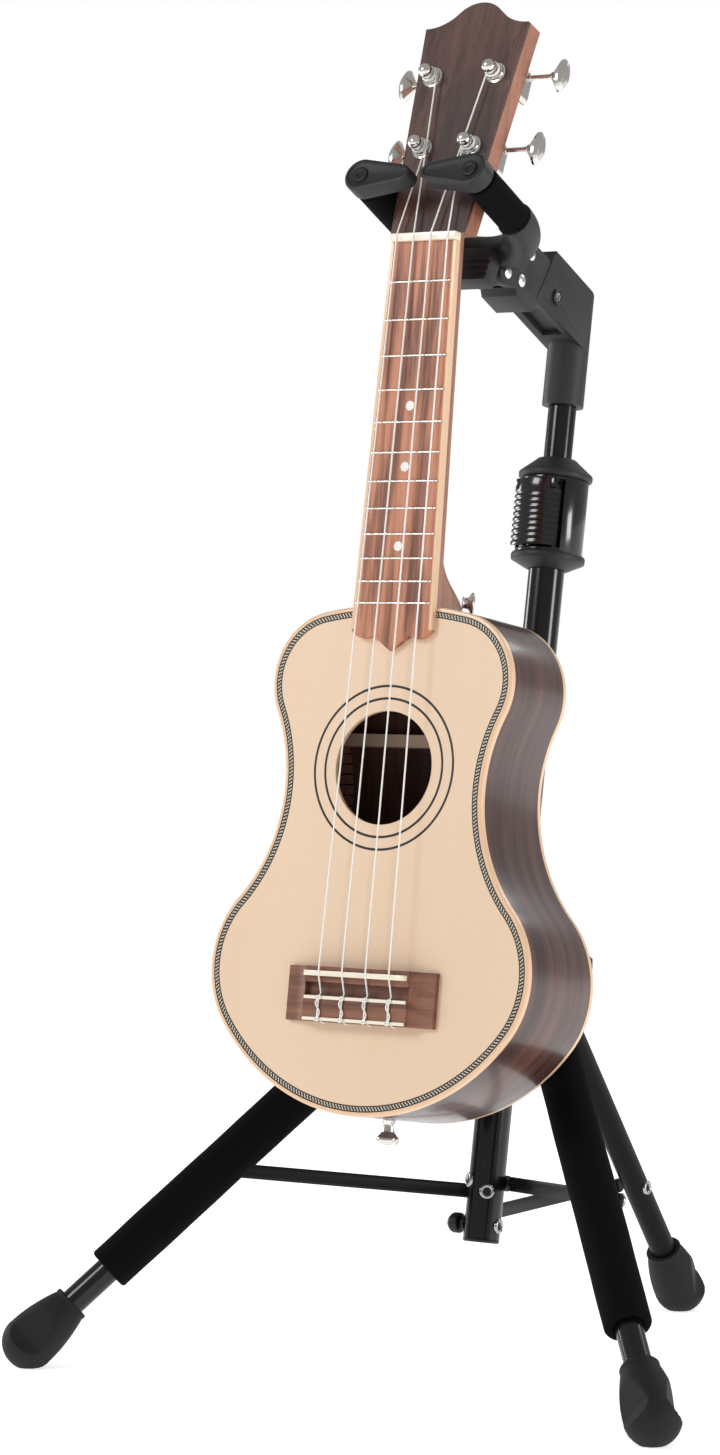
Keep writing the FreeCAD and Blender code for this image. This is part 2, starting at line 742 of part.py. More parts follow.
def brace_pins():
    """Hollow rivets through the mast, a ring at each end."""
    pins = []
    for name in LEG_TURN:
        side = BRACE_SIDE[name]
        at = Z * brace_s[name]
        near = at + Y * (side * (brace_inner_face(name) + brace_thick + 0.2))
        far = at - Y * (side * (lower_tube_r + 0.4))
        shank = rod(brace_pin_r, far, near)
        lips = [rod(eyelet_r, far, far - Y * (side * eyelet_lip)),
                rod(eyelet_r, near, near + Y * (side * eyelet_lip))]
        bore = rod(1.1, far - Y * (side * 5), far + Y * (side * 3))
        pins.append(put(fuse([shank] + lips).cut(bore), LEG_FRAME[name]))
    return group(pins)


def brace_washers():
    rings = []
    for name in LEG_TURN:
        side = BRACE_SIDE[name]
        at = Z * brace_s[name]
        start = at + Y * (side * (lower_tube_r + 0.02))
        end = at + Y * (side * (brace_inner_face(name) - 0.05))
        rings.append(put(pipe(3.9, brace_pin_r, start, end), LEG_FRAME[name]))
    return group(rings)


def brace_cap():
    """The domed cap over the rear brace's pin."""
    face = brace_inner_face("rear") + brace_thick + 0.2 + eyelet_lip
    at = Vector(0, face, brace_s["rear"])
    wall = rod(cap_r, at, at + Y * (cap_high - 2.4))
    dome = Part.makeCone(cap_r, cap_r * 0.55, 2.4, at + Y * (cap_high - 2.4), Y)
    return put(fuse([wall, dome]), LEG_FRAME["rear"])


# ---------------------------------------------------------------- ukulele body
body_top = scale_len * (1 - 2 ** (-body_frets / 12))


def fret_at(number):
    return scale_len * (1 - 2 ** (-number / 12))


def body_circles():
    """Centres and radii of the right half of the outline, top to tail, each tangent to the next."""
    waist_sum = ((upper_half - waist_half) ** 2 + (waist_at - upper_at) ** 2) / (2 * (upper_half - waist_half))
    waist_r = waist_sum - upper_bout_r
    lower_sum = ((lower_half - waist_half) ** 2 + (lower_at - waist_at) ** 2) / (2 * (lower_half - waist_half))
    lower_r = lower_sum - waist_r
    upper_x = upper_half - upper_bout_r
    top_r = (upper_x ** 2 + upper_at ** 2 - upper_bout_r ** 2) / (2 * (upper_at - upper_bout_r))
    lower_x = lower_half - lower_r
    drop = body_len - lower_at
    tail_r = (lower_x ** 2 + drop ** 2 - lower_r ** 2) / (2 * (drop - lower_r))
    return [
        (0, top_r, top_r, 1),
        (upper_x, upper_at, upper_bout_r, 1),
        (waist_half + waist_r, waist_at, waist_r, -1),
        (lower_x, lower_at, lower_r, 1),
        (0, body_len - tail_r, tail_r, 1),
    ]


def body_wire(inset):
    """The closed outline, drawn in by an inset, on the plane y = 0."""
    circles = [(cx, cv, r - inset * way, way) for cx, cv, r, way in body_circles()]
    spots = [(0.0, inset)]
    for (ax, av, ar, away), (bx, bv, br, bway) in zip(circles, circles[1:]):
        gap = math.hypot(bx - ax, bv - av)
        if away == bway:
            big, small = ((ax, av, ar), (bx, bv)) if ar > br else ((bx, bv, br), (ax, av))
            ux, uv = (small[0] - big[0]) / gap, (small[1] - big[1]) / gap
            spots.append((big[0] + ux * big[2], big[1] + uv * big[2]))
        else:
            spots.append((ax + (bx - ax) / gap * ar, av + (bv - av) / gap * ar))
    spots.append((0.0, body_len - inset))
    edges = []
    for mirror in (1, -1):
        for (cx, cv, r, way), a, b in zip(circles, spots, spots[1:]):
            mx, mv = (a[0] + b[0]) / 2 - cx, (a[1] + b[1]) / 2 - cv
            size = math.hypot(mx, mv)
            middle = (cx + mx / size * r, cv + mv / size * r)
            points = [Vector(mirror * px, 0, -(body_top + pv)) for px, pv in (a, middle, b)]
            edges.append(Part.Arc(*points).toShape())
    return Part.Wire(Part.__sortEdges__(edges))


def body_prism(inset, y0, y1):
    face = Part.Face(body_wire(inset))
    return put(face.extrude(Y * (y1 - y0)), Placement(Y * y0, Rotation()))


def behind(depth_neck, depth_tail):
    """A wedge that holds everything behind a plane which deepens from the neck to the tail."""
    slope = (depth_tail - depth_neck) / body_len
    top, low = 20.0, body_len + 20.0
    points = [(board_thick + depth_neck - slope * top, -(body_top - top)),
              (board_thick + depth_neck + slope * low, -(body_top + low)),
              (400, -(body_top + low)), (400, -(body_top - top))]
    return plate_yz(points, -200, 200)


def back_cut(inwards):
    return behind(body_deep_neck - inwards, body_deep_tail - inwards)


def ring(inset0, inset1, y0, y1):
    return body_prism(inset0, y0, y1).cut(body_prism(inset1, y0 - 1, y1 + 1))


def body_parts():
    """The sound box's pieces, each in the UKE frame."""
    front = board_thick
    deep = front + body_deep_tail + 5
    binding_front = ring(0, binding_wide, front, front + binding_high)
    outer_ring = ring(0, binding_wide, front, deep).cut(back_cut(0))
    binding_back = outer_ring.common(back_cut(binding_high))
    sides = outer_ring.cut(back_cut(binding_high)).cut(box(-200, 200, -50, front + binding_high, -900, 900))
    hole = rod(hole_r, Vector(0, -50, -(body_top + hole_at)), Vector(0, 50, -(body_top + hole_at)))
    board = body_prism(binding_wide, front, front + plate_thick).cut(hole)
    inner = body_prism(binding_wide, front, deep)
    back = inner.cut(back_cut(0)).common(back_cut(plate_thick))
    lining_in = binding_wide + lining_wide
    lining_front = ring(binding_wide, lining_in, front + plate_thick, front + plate_thick + lining_high)
    lining_ring = ring(binding_wide, lining_in, front, deep)
    lining_back = lining_ring.cut(back_cut(plate_thick)).common(back_cut(plate_thick + lining_high))
    blocks = []
    hollow = inner.cut(back_cut(plate_thick)).cut(box(-200, 200, -50, front + plate_thick, -900, 900))
    for v0, v1 in ((0, block_deep), (body_len - block_deep, body_len)):
        block = hollow.common(box(-24, 24, 0, 200, -(body_top + v1), -(body_top + v0)))
        blocks.append(block.cut([lining_front, lining_back]))
    return {
        "soundboard": board,
        "body_sides": sides,
        "back_plate": back,
        "body_binding": group([binding_front, binding_back]),
        "body_linings": group([lining_front, lining_back]),
        "end_blocks": group(blocks),
        "body_braces": group(body_braces(hollow, [lining_front, lining_back])),
    }


def body_braces(hollow, linings):
    """Cross bars under the soundboard and on the back, and the bridge plate."""
    front = board_thick + plate_thick
    bars = []
    for v, high in ((38, 6.0), (118, 6.5)):
        bars.append(box(-90, 90, front, front + high, -(body_top + v + 3), -(body_top + v - 3)))
    bars.append(box(-38, 38, front, front + 2.0, -(body_top + bridge_to + 4), -(body_top + bridge_from - 4)))
    bars = [bar.common(hollow) for bar in bars]
    slab = hollow.common(back_cut(plate_thick + 6.0))
    for v in (60, 125, 195):
        bars.append(slab.common(box(-95, 95, 0, 200, -(body_top + v + 3), -(body_top + v - 3))))
    return [bar.cut(linings) for bar in bars]


# ---------------------------------------------------------------- neck and board
def d_section(v, half, deep):
    """A flat front and a half-ellipse behind it, at a distance down the neck."""
    points = []
    for step in range(13):
        angle = math.pi * step / 12
        points.append(Vector(half * math.cos(angle), board_thick + deep * math.sin(angle), -v))
    curve = Part.BSplineCurve()
    curve.interpolate(points)
    return Part.Wire([curve.toShape(), Part.LineSegment(points[-1], points[0]).toShape()])


def board_half(v):
    return board_half_nut + (board_half_body - board_half_nut) * v / body_top


def neck():
    shaft_sections = []
    for share in (-0.03, 0.3, 0.65, 1.02):
        v = body_top * share
        deep = neck_deep_nut + (neck_deep_body - neck_deep_nut) * share
        shaft_sections.append(d_section(v, board_half(v), deep))
    shaft = Part.makeLoft(shaft_sections, True, False)
    heel_deep = body_deep_neck - 0.4
    heel_sections = [
        d_section(body_top - 30, board_half_body * 0.9, neck_deep_body - 1.5),
        d_section(body_top - 20, board_half_body * 0.92, neck_deep_body + 4.5),
        d_section(body_top - 11, board_half_body * 0.94, heel_deep * 0.72),
        d_section(body_top - 4, board_half_body * 0.95, heel_deep * 0.97),
        d_section(body_top + 3, board_half_body * 0.95, heel_deep),
    ]
    heel = Part.makeLoft(heel_sections, True, False)
    box_body = body_prism(0, board_thick - 1, board_thick + 100)
    head = put(head_plate(veneer_thick, veneer_thick + head_thick), HEAD_IN_UKE)
    above_nut = box(-60, 60, -100, 100, nut_thick, 300)
    head = head.common(above_nut)
    shaft = shaft.cut(box(-60, 60, -100, 100, nut_thick + 0.001, 300))
    body = fuse([shaft, heel.cut(box(-60, 60, -100, 100, -body_top + 60, 300)), head])
    body = body.cut([box_body])
    return put(body.cut(post_bores(post_r + 1.2)), UKE)


HEAD_IN_UKE = UKE.inverse().multiply(HEAD)


def head_outline(y):
    """Straight sides that open upwards, sharp corners, and a crest between two hollow curves."""
    top = head_len
    half = head_half_high

    def spot(across, up):
        return Vector(half * across, y, top + up)

    bow = head_crest * 0.55
    curves = []
    for sign in (-1, 1):
        hollow = Part.Arc(spot(sign, 0), spot(sign * 0.70, head_crest * 0.12), spot(sign * 0.42, bow))
        curves.append(hollow.toShape())
    crest = Part.Arc(spot(-0.42, bow), spot(0, head_crest), spot(0.42, bow)).toShape()
    low_left, low_right = Vector(-head_half_low, y, -8), Vector(head_half_low, y, -8)
    lines = [Part.LineSegment(low_left, spot(-1, 0)).toShape(), curves[0], crest, curves[1],
             Part.LineSegment(spot(1, 0), low_right).toShape(), Part.LineSegment(low_right, low_left).toShape()]
    return Part.Wire(Part.__sortEdges__(lines))


def head_plate(y0, y1):
    return Part.Face(head_outline(y0)).extrude(Y * (y1 - y0))


def post_spots():
    spots = {}
    for side, sign in (("left", -1), ("right", 1)):
        spots["upper_" + side] = Vector(sign * post_high_at[0], 0, post_high_at[1])
        spots["lower_" + side] = Vector(sign * post_low_at[0], 0, post_low_at[1])
    return spots


def post_bores(radius):
    bores = [rod(radius, spot - Y * 30, spot + Y * 40) for spot in post_spots().values()]
    return put(Part.makeCompound(bores), HEAD_IN_UKE)


def head_veneer():
    plate = put(head_plate(0, veneer_thick), HEAD_IN_UKE)
    plate = plate.common(box(-60, 60, -100, 100, nut_thick, 300))
    return put(plate.cut(post_bores(post_r + 1.2)), UKE)


def fretboard():
    """A tapered board; past the body joint it ends in scooped shoulders and a point."""
    end = body_top + board_over_body
    half = board_half(end)
    tip = Vector(0, 0, -(end + board_point))
    left, right = Vector(-half, 0, -end), Vector(half, 0, -end)
    shoulder = 0.45 * half
    dip = end + board_point * 0.28
    edges = [
        Part.LineSegment(Vector(-board_half_nut, 0, 0), left).toShape(),
        Part.Arc(left, Vector(-half * 0.72, 0, -(end + board_point * 0.42)), Vector(-shoulder, 0, -dip)).toShape(),
        Part.LineSegment(Vector(-shoulder, 0, -dip), tip).toShape(),
        Part.LineSegment(tip, Vector(shoulder, 0, -dip)).toShape(),
        Part.Arc(Vector(shoulder, 0, -dip), Vector(half * 0.72, 0, -(end + board_point * 0.42)), right).toShape(),
        Part.LineSegment(right, Vector(board_half_nut, 0, 0)).toShape(),
        Part.LineSegment(Vector(board_half_nut, 0, 0), Vector(-board_half_nut, 0, 0)).toShape(),
    ]
    board = Part.Face(Part.Wire(edges)).extrude(Y * board_thick)
    slots = [fret_slot(number) for number in range(1, last_fret + 1)]
    return put(board.cut(slots), UKE)


def fret_slot(number):
    v = fret_at(number)
    half = board_half(v) - fret_inset
    return box(-half, half, 0, fret_tang, -(v + 0.3), -(v - 0.3))


def frets():
    wires = []
    for number in range(1, last_fret + 1):
        v = fret_at(number)
        half = board_half(v) - fret_inset
        crown = rod(fret_wide / 2, Vector(-half, 0, -v), Vector(half, 0, -v))
        crown = crown.cut(box(-60, 60, 0, 5, -v - 5, -v + 5))
        wires.append(put(fuse([crown, fret_slot(number)]), UKE))
    return group(wires)


def nut():
    body = box(-board_half_nut, board_half_nut, -nut_high, board_thick, 0, nut_thick)
    return put(body.cut(string_rods(string_r)), UKE)


# ---------------------------------------------------------------- bridge and strings
def bridge():
    front = board_thick
    low, high = -(body_top + bridge_to), -(body_top + bridge_from)
    inner = bridge_block_half + 3.0
    base = box(-bridge_half, bridge_half, front - bridge_wing, front, low, high)
    block = box(-bridge_block_half, bridge_block_half, front - bridge_block_high, front, low, high)
    ramp = plate_xy([(bridge_block_half - 0.1, front - bridge_block_high), (inner + 2.5, front - bridge_wing),
                     (bridge_block_half - 0.1, front - bridge_wing)], low, high)
    body = fuse([base, block, ramp, ramp.mirror(Vector(0, 0, 0), X)])
    slot_v = body_top + saddle_at
    slot = box(-saddle_half, saddle_half, front - bridge_block_high - 5, front - bridge_wing,
               -(slot_v + saddle_thick / 2), -(slot_v - saddle_thick / 2))
    channel_v = body_top + saddle_at + 5.5
    channel = box(-bridge_block_half - 3, bridge_block_half + 3, front - bridge_block_high - 5,
                  front - bridge_block_high + 3.4, -(channel_v + 4.2), -(channel_v - 2.2))
    return put(body.cut([slot, channel]).cut(string_rods(string_r)), UKE)


def plate_xy(points, z0, z1):
    corners = [Vector(x, y, z0) for x, y in points]
    face = Part.Face(Part.makePolygon(corners + corners[:1]))
    return face.extrude(Z * (z1 - z0))


def saddle():
    v = body_top + saddle_at
    top = board_thick - bridge_block_high - saddle_high
    body = box(-saddle_half, saddle_half, top, board_thick - bridge_wing,
               -(v + saddle_thick / 2), -(v - saddle_thick / 2))
    return put(body.cut(string_rods(string_r)), UKE)


def string_lines():
    """Where each string's straight stretches begin and end, in the UKE frame."""
    spots = post_spots()
    posts = [spots["lower_left"], spots["upper_left"], spots["upper_right"], spots["lower_right"]]
    lines = []
    saddle_v = body_top + saddle_at
    saddle_y = board_thick - bridge_block_high - saddle_high
    tie_v = body_top + bridge_to - 5.0
    for step, post in enumerate(posts):
        place = step - 1.5
        nut_spot = Vector(place * string_gap_nut, -nut_high, 1.0)
        saddle_spot = Vector(place * string_gap_saddle, saddle_y, -saddle_v)
        tie_spot = Vector(place * string_gap_saddle, board_thick - bridge_block_high + 1.2, -tie_v)
        inwards = -1 if post.x > 0 else 1
        wrap_r = post_r + string_r + 0.15
        wrap = post + X * (inwards * wrap_r) - Y * coil_out
        lines.append([tie_spot, saddle_spot, nut_spot, HEAD_IN_UKE.multVec(wrap)])
    return lines


def string_rods(radius):
    rods = []
    for spots in string_lines():
        for a, b in zip(spots, spots[1:]):
            rods.append(rod(radius, a, b))
    return Part.makeCompound(rods)


def strings():
    """Each string from its tie on the bridge, over saddle and nut, to its coil round the post."""
    bunch = []
    for post, spots in zip(("lower_left", "upper_left", "upper_right", "lower_right"), string_lines()):
        pieces = [rod(string_r, a, b) for a, b in zip(spots, spots[1:])]
        pieces += [Part.makeSphere(string_r, spot) for spot in spots[1:3]]
        centre = post_spots()[post] - Y * coil_out
        coil = Part.makeTorus(post_r + string_r + 0.15, string_r, centre, Y)
        pieces.append(put(coil, HEAD_IN_UKE))
        bunch.append(put(fuse(pieces), UKE))
    return group(bunch)


# ---------------------------------------------------------------- tuners
def tuner_housings():
    """A sealed case behind the headstock for each worm and pinion."""
    cases = []
    back = veneer_thick + head_thick
    for spot in post_spots().values():
        sign = 1 if spot.x > 0 else -1
        outer = box(spot.x - housing_x, spot.x + housing_x, back, back + housing_deep,
                    spot.z - housing_down, spot.z + housing_up)
        edges = [edge for edge in outer.Edges if abs(edge.tangentAt(edge.FirstParameter).y) > 0.9]
        outer = outer.makeFillet(2.5, edges)
        pinion_room = rod(pinion_r + 0.6, spot + Y * (back - 1), spot + Y * (back + housing_deep - 1.2))
        worm = Vector(spot.x, back + housing_deep / 2, spot.z + worm_up)
        worm_room = rod(worm_r + 0.5, worm - X * (housing_x - 1.4), worm + X * (housing_x - 1.4))
        shaft = rod(worm_r * 0.8 + run_fit, worm, worm + X * (sign * 30))
        cases.append(put(outer.cut([pinion_room, worm_room, shaft]), HEAD))
    return group(cases)


def tuner_ferrules():
    rings = []
    for spot in post_spots().values():
        flange = pipe(ferrule_r, post_r + run_fit, spot - Y * ferrule_high, spot)
        sleeve = pipe(post_r + 1.2, post_r + run_fit, spot - Y * 0.1, spot + Y * (veneer_thick + 3.0))
        rings.append(put(fuse([flange, sleeve]), HEAD))
    return group(rings)


def tuner_post(spot):
    """The string post with its round top in front and its pinion in the housing behind."""
    back = veneer_thick + head_thick
    shank = rod(post_r, spot - Y * post_stand, spot + Y * (back + 2.0))
    knob = Part.makeSphere(post_r + 0.55, spot - Y * post_stand)
    pinion = rod(pinion_r, spot + Y * (back + 1.2), spot + Y * (back + housing_deep - 1.6))
    return put(fuse([shank, knob, pinion]), HEAD)


def tuner_button(spot):
    """The worm on its shaft with the oval button."""
    sign = 1 if spot.x > 0 else -1
    back = veneer_thick + head_thick
    axis = Vector(spot.x, back + housing_deep / 2, spot.z + worm_up)
    worm = rod(worm_r, axis - X * (housing_x - 2.0), axis + X * (housing_x - 2.0))
    shaft = rod(worm_r * 0.8, axis, axis + X * (sign * (button_from + 1)))
    start = axis + X * (sign * button_from)
    oval = Part.Ellipse(start + Z * button_half_high, start + Y * button_half_wide, start)
    disc = Part.Face(Part.Wire(oval.toShape())).extrude(X * (sign * button_long))
    waist = disc.makeChamfer(1.3, [edge for edge in disc.Edges if edge.Length > 2 * button_half_high])
    return put(fuse([worm, shaft, waist]), HEAD)


def strap_buttons():
    """One on the heel's right side, one at the tail; each a flared button on a screw."""
    profile = [(0, 0), (3.2, 0), (2.6, 2.2), (2.9, 5.6), (strap_button_r, 8.6), (strap_button_r, 10.0),
               (strap_button_r - 1.2, 11.4), (0, 12.0)]
    tail = Placement(Vector(0, board_thick + body_deep_tail * 0.48, -(body_top + body_len)), Rotation(X, 180))
    heel_spot = Vector(10.2, board_thick + body_deep_neck * 0.86, -(body_top - 6.5))
    outwards = Vector(0.80, 0.60, 0.0)
    short = [(r, h * 0.5) for r, h in profile]
    heel = Placement(heel_spot, Rotation(Z, outwards))
    shapes = [turned(profile, UKE.multiply(tail)), turned(short, UKE.multiply(heel))]
    return group(shapes)


# ---------------------------------------------------------------- assembly
def all_nodes():
    nodes = {
        "lower_tube": lower_tube(),
        "mast_plug": mast_plug(),
        "clutch_housing": clutch_housing(),
        "clutch_caps": clutch_caps(),
        "clutch_plates": clutch_plates(),
        "clutch_spring": clutch_spring(),
        "clutch_trigger": clutch_trigger(),
        "brace_pins": brace_pins(),
        "brace_washers": brace_washers(),
        "brace_cap": brace_cap(),
        "upper_tube": upper_tube(),
        "tube_bush": tube_bush(),
        "elbow_block": elbow_block(),
        "yoke_bracket": yoke_bracket(),
        "head_fasteners": head_fasteners(),
        "yoke_fork": yoke_fork(),
        "yoke_foam": yoke_foam(),
        "tilt_pin": tilt_pin(),
        "gate_left": gate(-1),
        "gate_right": gate(1),
        "leg_hub": leg_hub(),
        "hub_pins": hub_pins(),
        "hub_knob": hub_knob(),
        "neck": neck(),
        "head_veneer": head_veneer(),
        "fretboard": fretboard(),
        "frets": frets(),
        "nut": nut(),
        "bridge": bridge(),
        "saddle": saddle(),
        "strings": strings(),
        "tuner_housings": tuner_housings(),
        "tuner_ferrules": tuner_ferrules(),
        "strap_buttons": strap_buttons(),
    }
    for name, shape in body_parts().items():
        nodes[name] = put(shape, UKE)
    for name in LEG_TURN:
        nodes["leg_tube_" + name] = leg_tube(name)
        nodes["foot_" + name] = foot(name)
        nodes["brace_" + name] = brace(name)
        if name != "rear":
            nodes["leg_foam_" + name] = leg_foam(name)
    for name, spot in post_spots().items():
        nodes["tuner_post_" + name] = tuner_post(spot)
        nodes["tuner_button_" + name] = tuner_button(spot)
    return nodes


def centred(nodes):
    """Move everything so that the middle of the whole object's base is the origin."""
    bounds = Part.makeCompound(list(nodes.values())).optimalBoundingBox(False)
    shift = Vector(-(bounds.XMin + bounds.XMax) / 2, -(bounds.YMin + bounds.YMax) / 2, -bounds.ZMin)
    return shift, {name: put(shape, Placement(shift, Rotation())) for name, shape in nodes.items()}


shift, nodes = centred(all_nodes())
os.makedirs("parts", exist_ok=True)
for node_name, node_shape in nodes.items():
    node_shape.exportStep("parts/" + node_name + ".step")
print(len(nodes), "nodes, shift", shift)
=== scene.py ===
"""Finish and detail for a soprano ukulele that hangs in the yoke of a folding tripod stand.

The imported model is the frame.  Sizes inside the functions are millimetres in the part's own
local frames, which are worked out from the joints of the frame; meshes are written in metres.
"""

import json
import math

import bmesh
import bpy
from mathutils import Matrix, Vector


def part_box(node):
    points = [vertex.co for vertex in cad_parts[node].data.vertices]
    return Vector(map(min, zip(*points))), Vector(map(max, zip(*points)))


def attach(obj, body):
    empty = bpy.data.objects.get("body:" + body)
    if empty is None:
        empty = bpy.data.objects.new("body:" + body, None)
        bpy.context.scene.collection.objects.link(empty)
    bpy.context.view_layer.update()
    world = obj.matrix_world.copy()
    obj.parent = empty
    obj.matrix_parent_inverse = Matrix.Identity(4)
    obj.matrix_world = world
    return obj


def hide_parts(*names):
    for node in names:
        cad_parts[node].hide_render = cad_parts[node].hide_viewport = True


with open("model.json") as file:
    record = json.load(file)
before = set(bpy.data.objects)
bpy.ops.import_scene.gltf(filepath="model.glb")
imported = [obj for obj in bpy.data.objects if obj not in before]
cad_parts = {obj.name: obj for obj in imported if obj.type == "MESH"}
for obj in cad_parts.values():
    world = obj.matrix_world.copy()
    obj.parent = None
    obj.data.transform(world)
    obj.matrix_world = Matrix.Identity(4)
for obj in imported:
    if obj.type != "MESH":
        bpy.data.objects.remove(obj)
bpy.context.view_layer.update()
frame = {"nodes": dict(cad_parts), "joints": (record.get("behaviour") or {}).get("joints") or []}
JOINTS = {joint["name"]: joint for joint in frame["joints"]}

bl_info = {
    "name": "Ukulele on a folding stand",
    "version": (1, 0, 0),
    "blender": (4, 5, 0),
    "location": "View3D > Sidebar > Ukulele",
    "description": "Finishes and details of a ukulele and its tripod stand",
    "category": "Object",
}

MM = 0.001
X, Y, Z = Vector((1, 0, 0)), Vector((0, 1, 0)), Vector((0, 0, 1))


# ---------------------------------------------------------------- local frames
def joint_point(name):
    return Vector(JOINTS[name]["pos_m"]) / MM


def joint_axis(name):
    return Vector(JOINTS[name]["axis"]).normalized()


def place(origin, x, y, z):
    """A matrix from a local frame to the row frame, both in millimetres."""
    columns = Matrix((x, y, z)).transposed().to_4x4()
    return Matrix.Translation(origin) @ columns


def leaned(origin, up):
    """x stays level, z is given and y points to the back."""
    return place(origin, X, up.cross(X), up)


UKE_LEAN = math.radians(8.5)
BOARD_THICK = 3.5
NUT_HIGH = 1.9
HEAD_BEHIND = 0.7
KNOB_S = 133.4
YOKE_REACH = 159.5
HUB_FLAT = 0.172  # travel of the hub that would lay the legs flat; it stops a little short

uke_up = Vector((0, math.sin(UKE_LEAN), math.cos(UKE_LEAN)))
nut_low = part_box("nut")[0] / MM
uke_origin = Vector((0, nut_low.y + NUT_HIGH * math.cos(UKE_LEAN),
                     nut_low.z + BOARD_THICK * math.sin(UKE_LEAN)))
UKE = leaned(uke_origin, uke_up)
head_back = joint_axis("post_turn_upper_right")
HEAD = place(UKE @ Vector((0, HEAD_BEHIND, 0)), X, head_back, X.cross(head_back))
mast_up = joint_axis("mast_height")
MAST = leaned(joint_point("hub_lock") - mast_up * KNOB_S, mast_up)
arm_back = joint_axis("gate_turn_right")
gate_middle = (joint_point("gate_turn_left") + joint_point("gate_turn_right")) / 2
YOKE = place(gate_middle + arm_back * YOKE_REACH, X, arm_back, X.cross(arm_back))


def head_point(joint):
    """A tuner joint's point in the headstock's frame."""
    return HEAD.inverted() @ joint_point(joint)


TUNERS = ("upper_left", "upper_right", "lower_left", "lower_right")
POSTS = {name: head_point("post_turn_" + name) for name in TUNERS}
WORMS = {name: head_point("tuner_turn_" + name) for name in TUNERS}
LEGS = ("left", "right", "rear")
TO_FRONT = Matrix.Rotation(math.pi / 2, 4, "X")  # turns z to the front


def leg_place(name):
    """Origin at the leg's pivot, z down the leg, y along the pivot."""
    pivot = joint_point("leg_fold_" + name)
    across = joint_axis("leg_fold_" + name)
    out = across.cross(mast_up)
    whole = HUB_FLAT / JOINTS["hub_slide"]["range_m"][1]
    spread = math.radians(JOINTS["leg_fold_" + name]["range_deg"][1]) * whole
    down = out * math.sin(spread) - mast_up * math.cos(spread)
    return place(pivot, across.cross(down), across, down)


# ---------------------------------------------------------------- user's sizes and colours
def colour(name, words, default):
    return bpy.props.FloatVectorProperty(name=name, description=words, subtype="COLOR", size=3,
                                         min=0.0, max=1.0, default=default)


def length(name, words, default):
    return bpy.props.FloatProperty(name=name, description=words, default=default, min=0.0)


class UkuleleSizes(bpy.types.PropertyGroup):
    scale: length("Scale length", "Nut to saddle, in millimetres", 346.0)
    purfling: length("Purfling width", "Rope inlay inside the front binding, in millimetres", 3.0)
    rope_pitch: length("Rope pitch", "Distance between the rope's dark twists, in millimetres", 1.7)
    ring_inner: length("Inner ring", "Radius of the inner rosette ring, in millimetres", 32.7)
    ring_outer: length("Outer ring", "Radius of the outer rosette ring, in millimetres", 38.6)
    ring_wide: length("Ring width", "Width of each rosette ring, in millimetres", 1.15)
    marker: length("Marker radius", "Radius of a fret marker, in millimetres", 2.3)
    string: length("String radius", "Radius of a string, in millimetres", 0.42)


class UkuleleColours(bpy.types.PropertyGroup):
    spruce: colour("Spruce", "The soundboard", (0.80, 0.60, 0.43))
    rosewood: colour("Rosewood", "Sides, back and headstock veneer", (0.045, 0.021, 0.019))
    rosewood_light: colour("Rosewood streak", "Lighter streaks in the rosewood", (0.125, 0.055, 0.040))
    board: colour("Fretboard wood", "Fretboard and bridge", (0.56, 0.235, 0.135))
    board_dark: colour("Fretboard streak", "The darker streaks in the fretboard", (0.17, 0.062, 0.038))
    mahogany: colour("Mahogany", "The neck", (0.43, 0.185, 0.115))
    cream: colour("Binding", "The strips round the edges", (0.78, 0.52, 0.33))
    bone: colour("Bone", "Nut, saddle and tie strips", (0.88, 0.81, 0.66))


class StandColours(bpy.types.PropertyGroup):
    moulded: colour("Moulded parts", "Elbow, yoke, gates and clutch", (0.017, 0.016, 0.018))
    tube: colour("Tubes", "Gloss black tubes", (0.004, 0.004, 0.005))
    foam: colour("Foam", "Sleeves on legs and yoke", (0.0035, 0.0034, 0.0036))
    boot: colour("Feet", "Rubber feet", (0.009, 0.009, 0.010))


# ---------------------------------------------------------------- materials
def fill(tree, node, settings, sockets):
    """Set a node's properties and inputs; i0, i1 and so on name an input by its place."""
    for key, value in (settings or {}).items():
        setattr(node, key, value)
    for key, value in sockets.items():
        by_place = key[0] == "i" and key[1:].isdigit()
        socket = node.inputs[int(key[1:]) if by_place else key.replace("_", " ")]
        value = value.socket if isinstance(value, Val) else value
        if isinstance(value, bpy.types.NodeSocket):
            tree.links.new(value, socket)
        elif hasattr(value, "__len__") and len(value) == 3 and len(socket.default_value) == 4:
            socket.default_value = (*value, 1.0)
        else:
            socket.default_value = value
    return node


def shaded(tint, share):
    return tuple(channel * share for channel in tint)


class Val:
    """A shader value; the operators add Math nodes."""

    def __init__(self, tree, socket):
        self.tree = tree
        self.socket = socket

    def maths(self, operation, other=None, swap=False):
        node = self.tree.nodes.new("ShaderNodeMath")
        node.operation = operation
        values = [self] if other is None else ([other, self] if swap else [self, other])
        for place_in, value in zip(node.inputs, values):
            if isinstance(value, Val):
                self.tree.links.new(value.socket, place_in)
            else:
                place_in.default_value = value
        return Val(self.tree, node.outputs[0])

    def __add__(self, other):
        return self.maths("ADD", other)

    __radd__ = __add__

    def __sub__(self, other):
        return self.maths("SUBTRACT", other)

    def __rsub__(self, other):
        return self.maths("SUBTRACT", other, swap=True)

    def __mul__(self, other):
        return self.maths("MULTIPLY", other)

    __rmul__ = __mul__

    def __pow__(self, other):
        return self.maths("POWER", other)


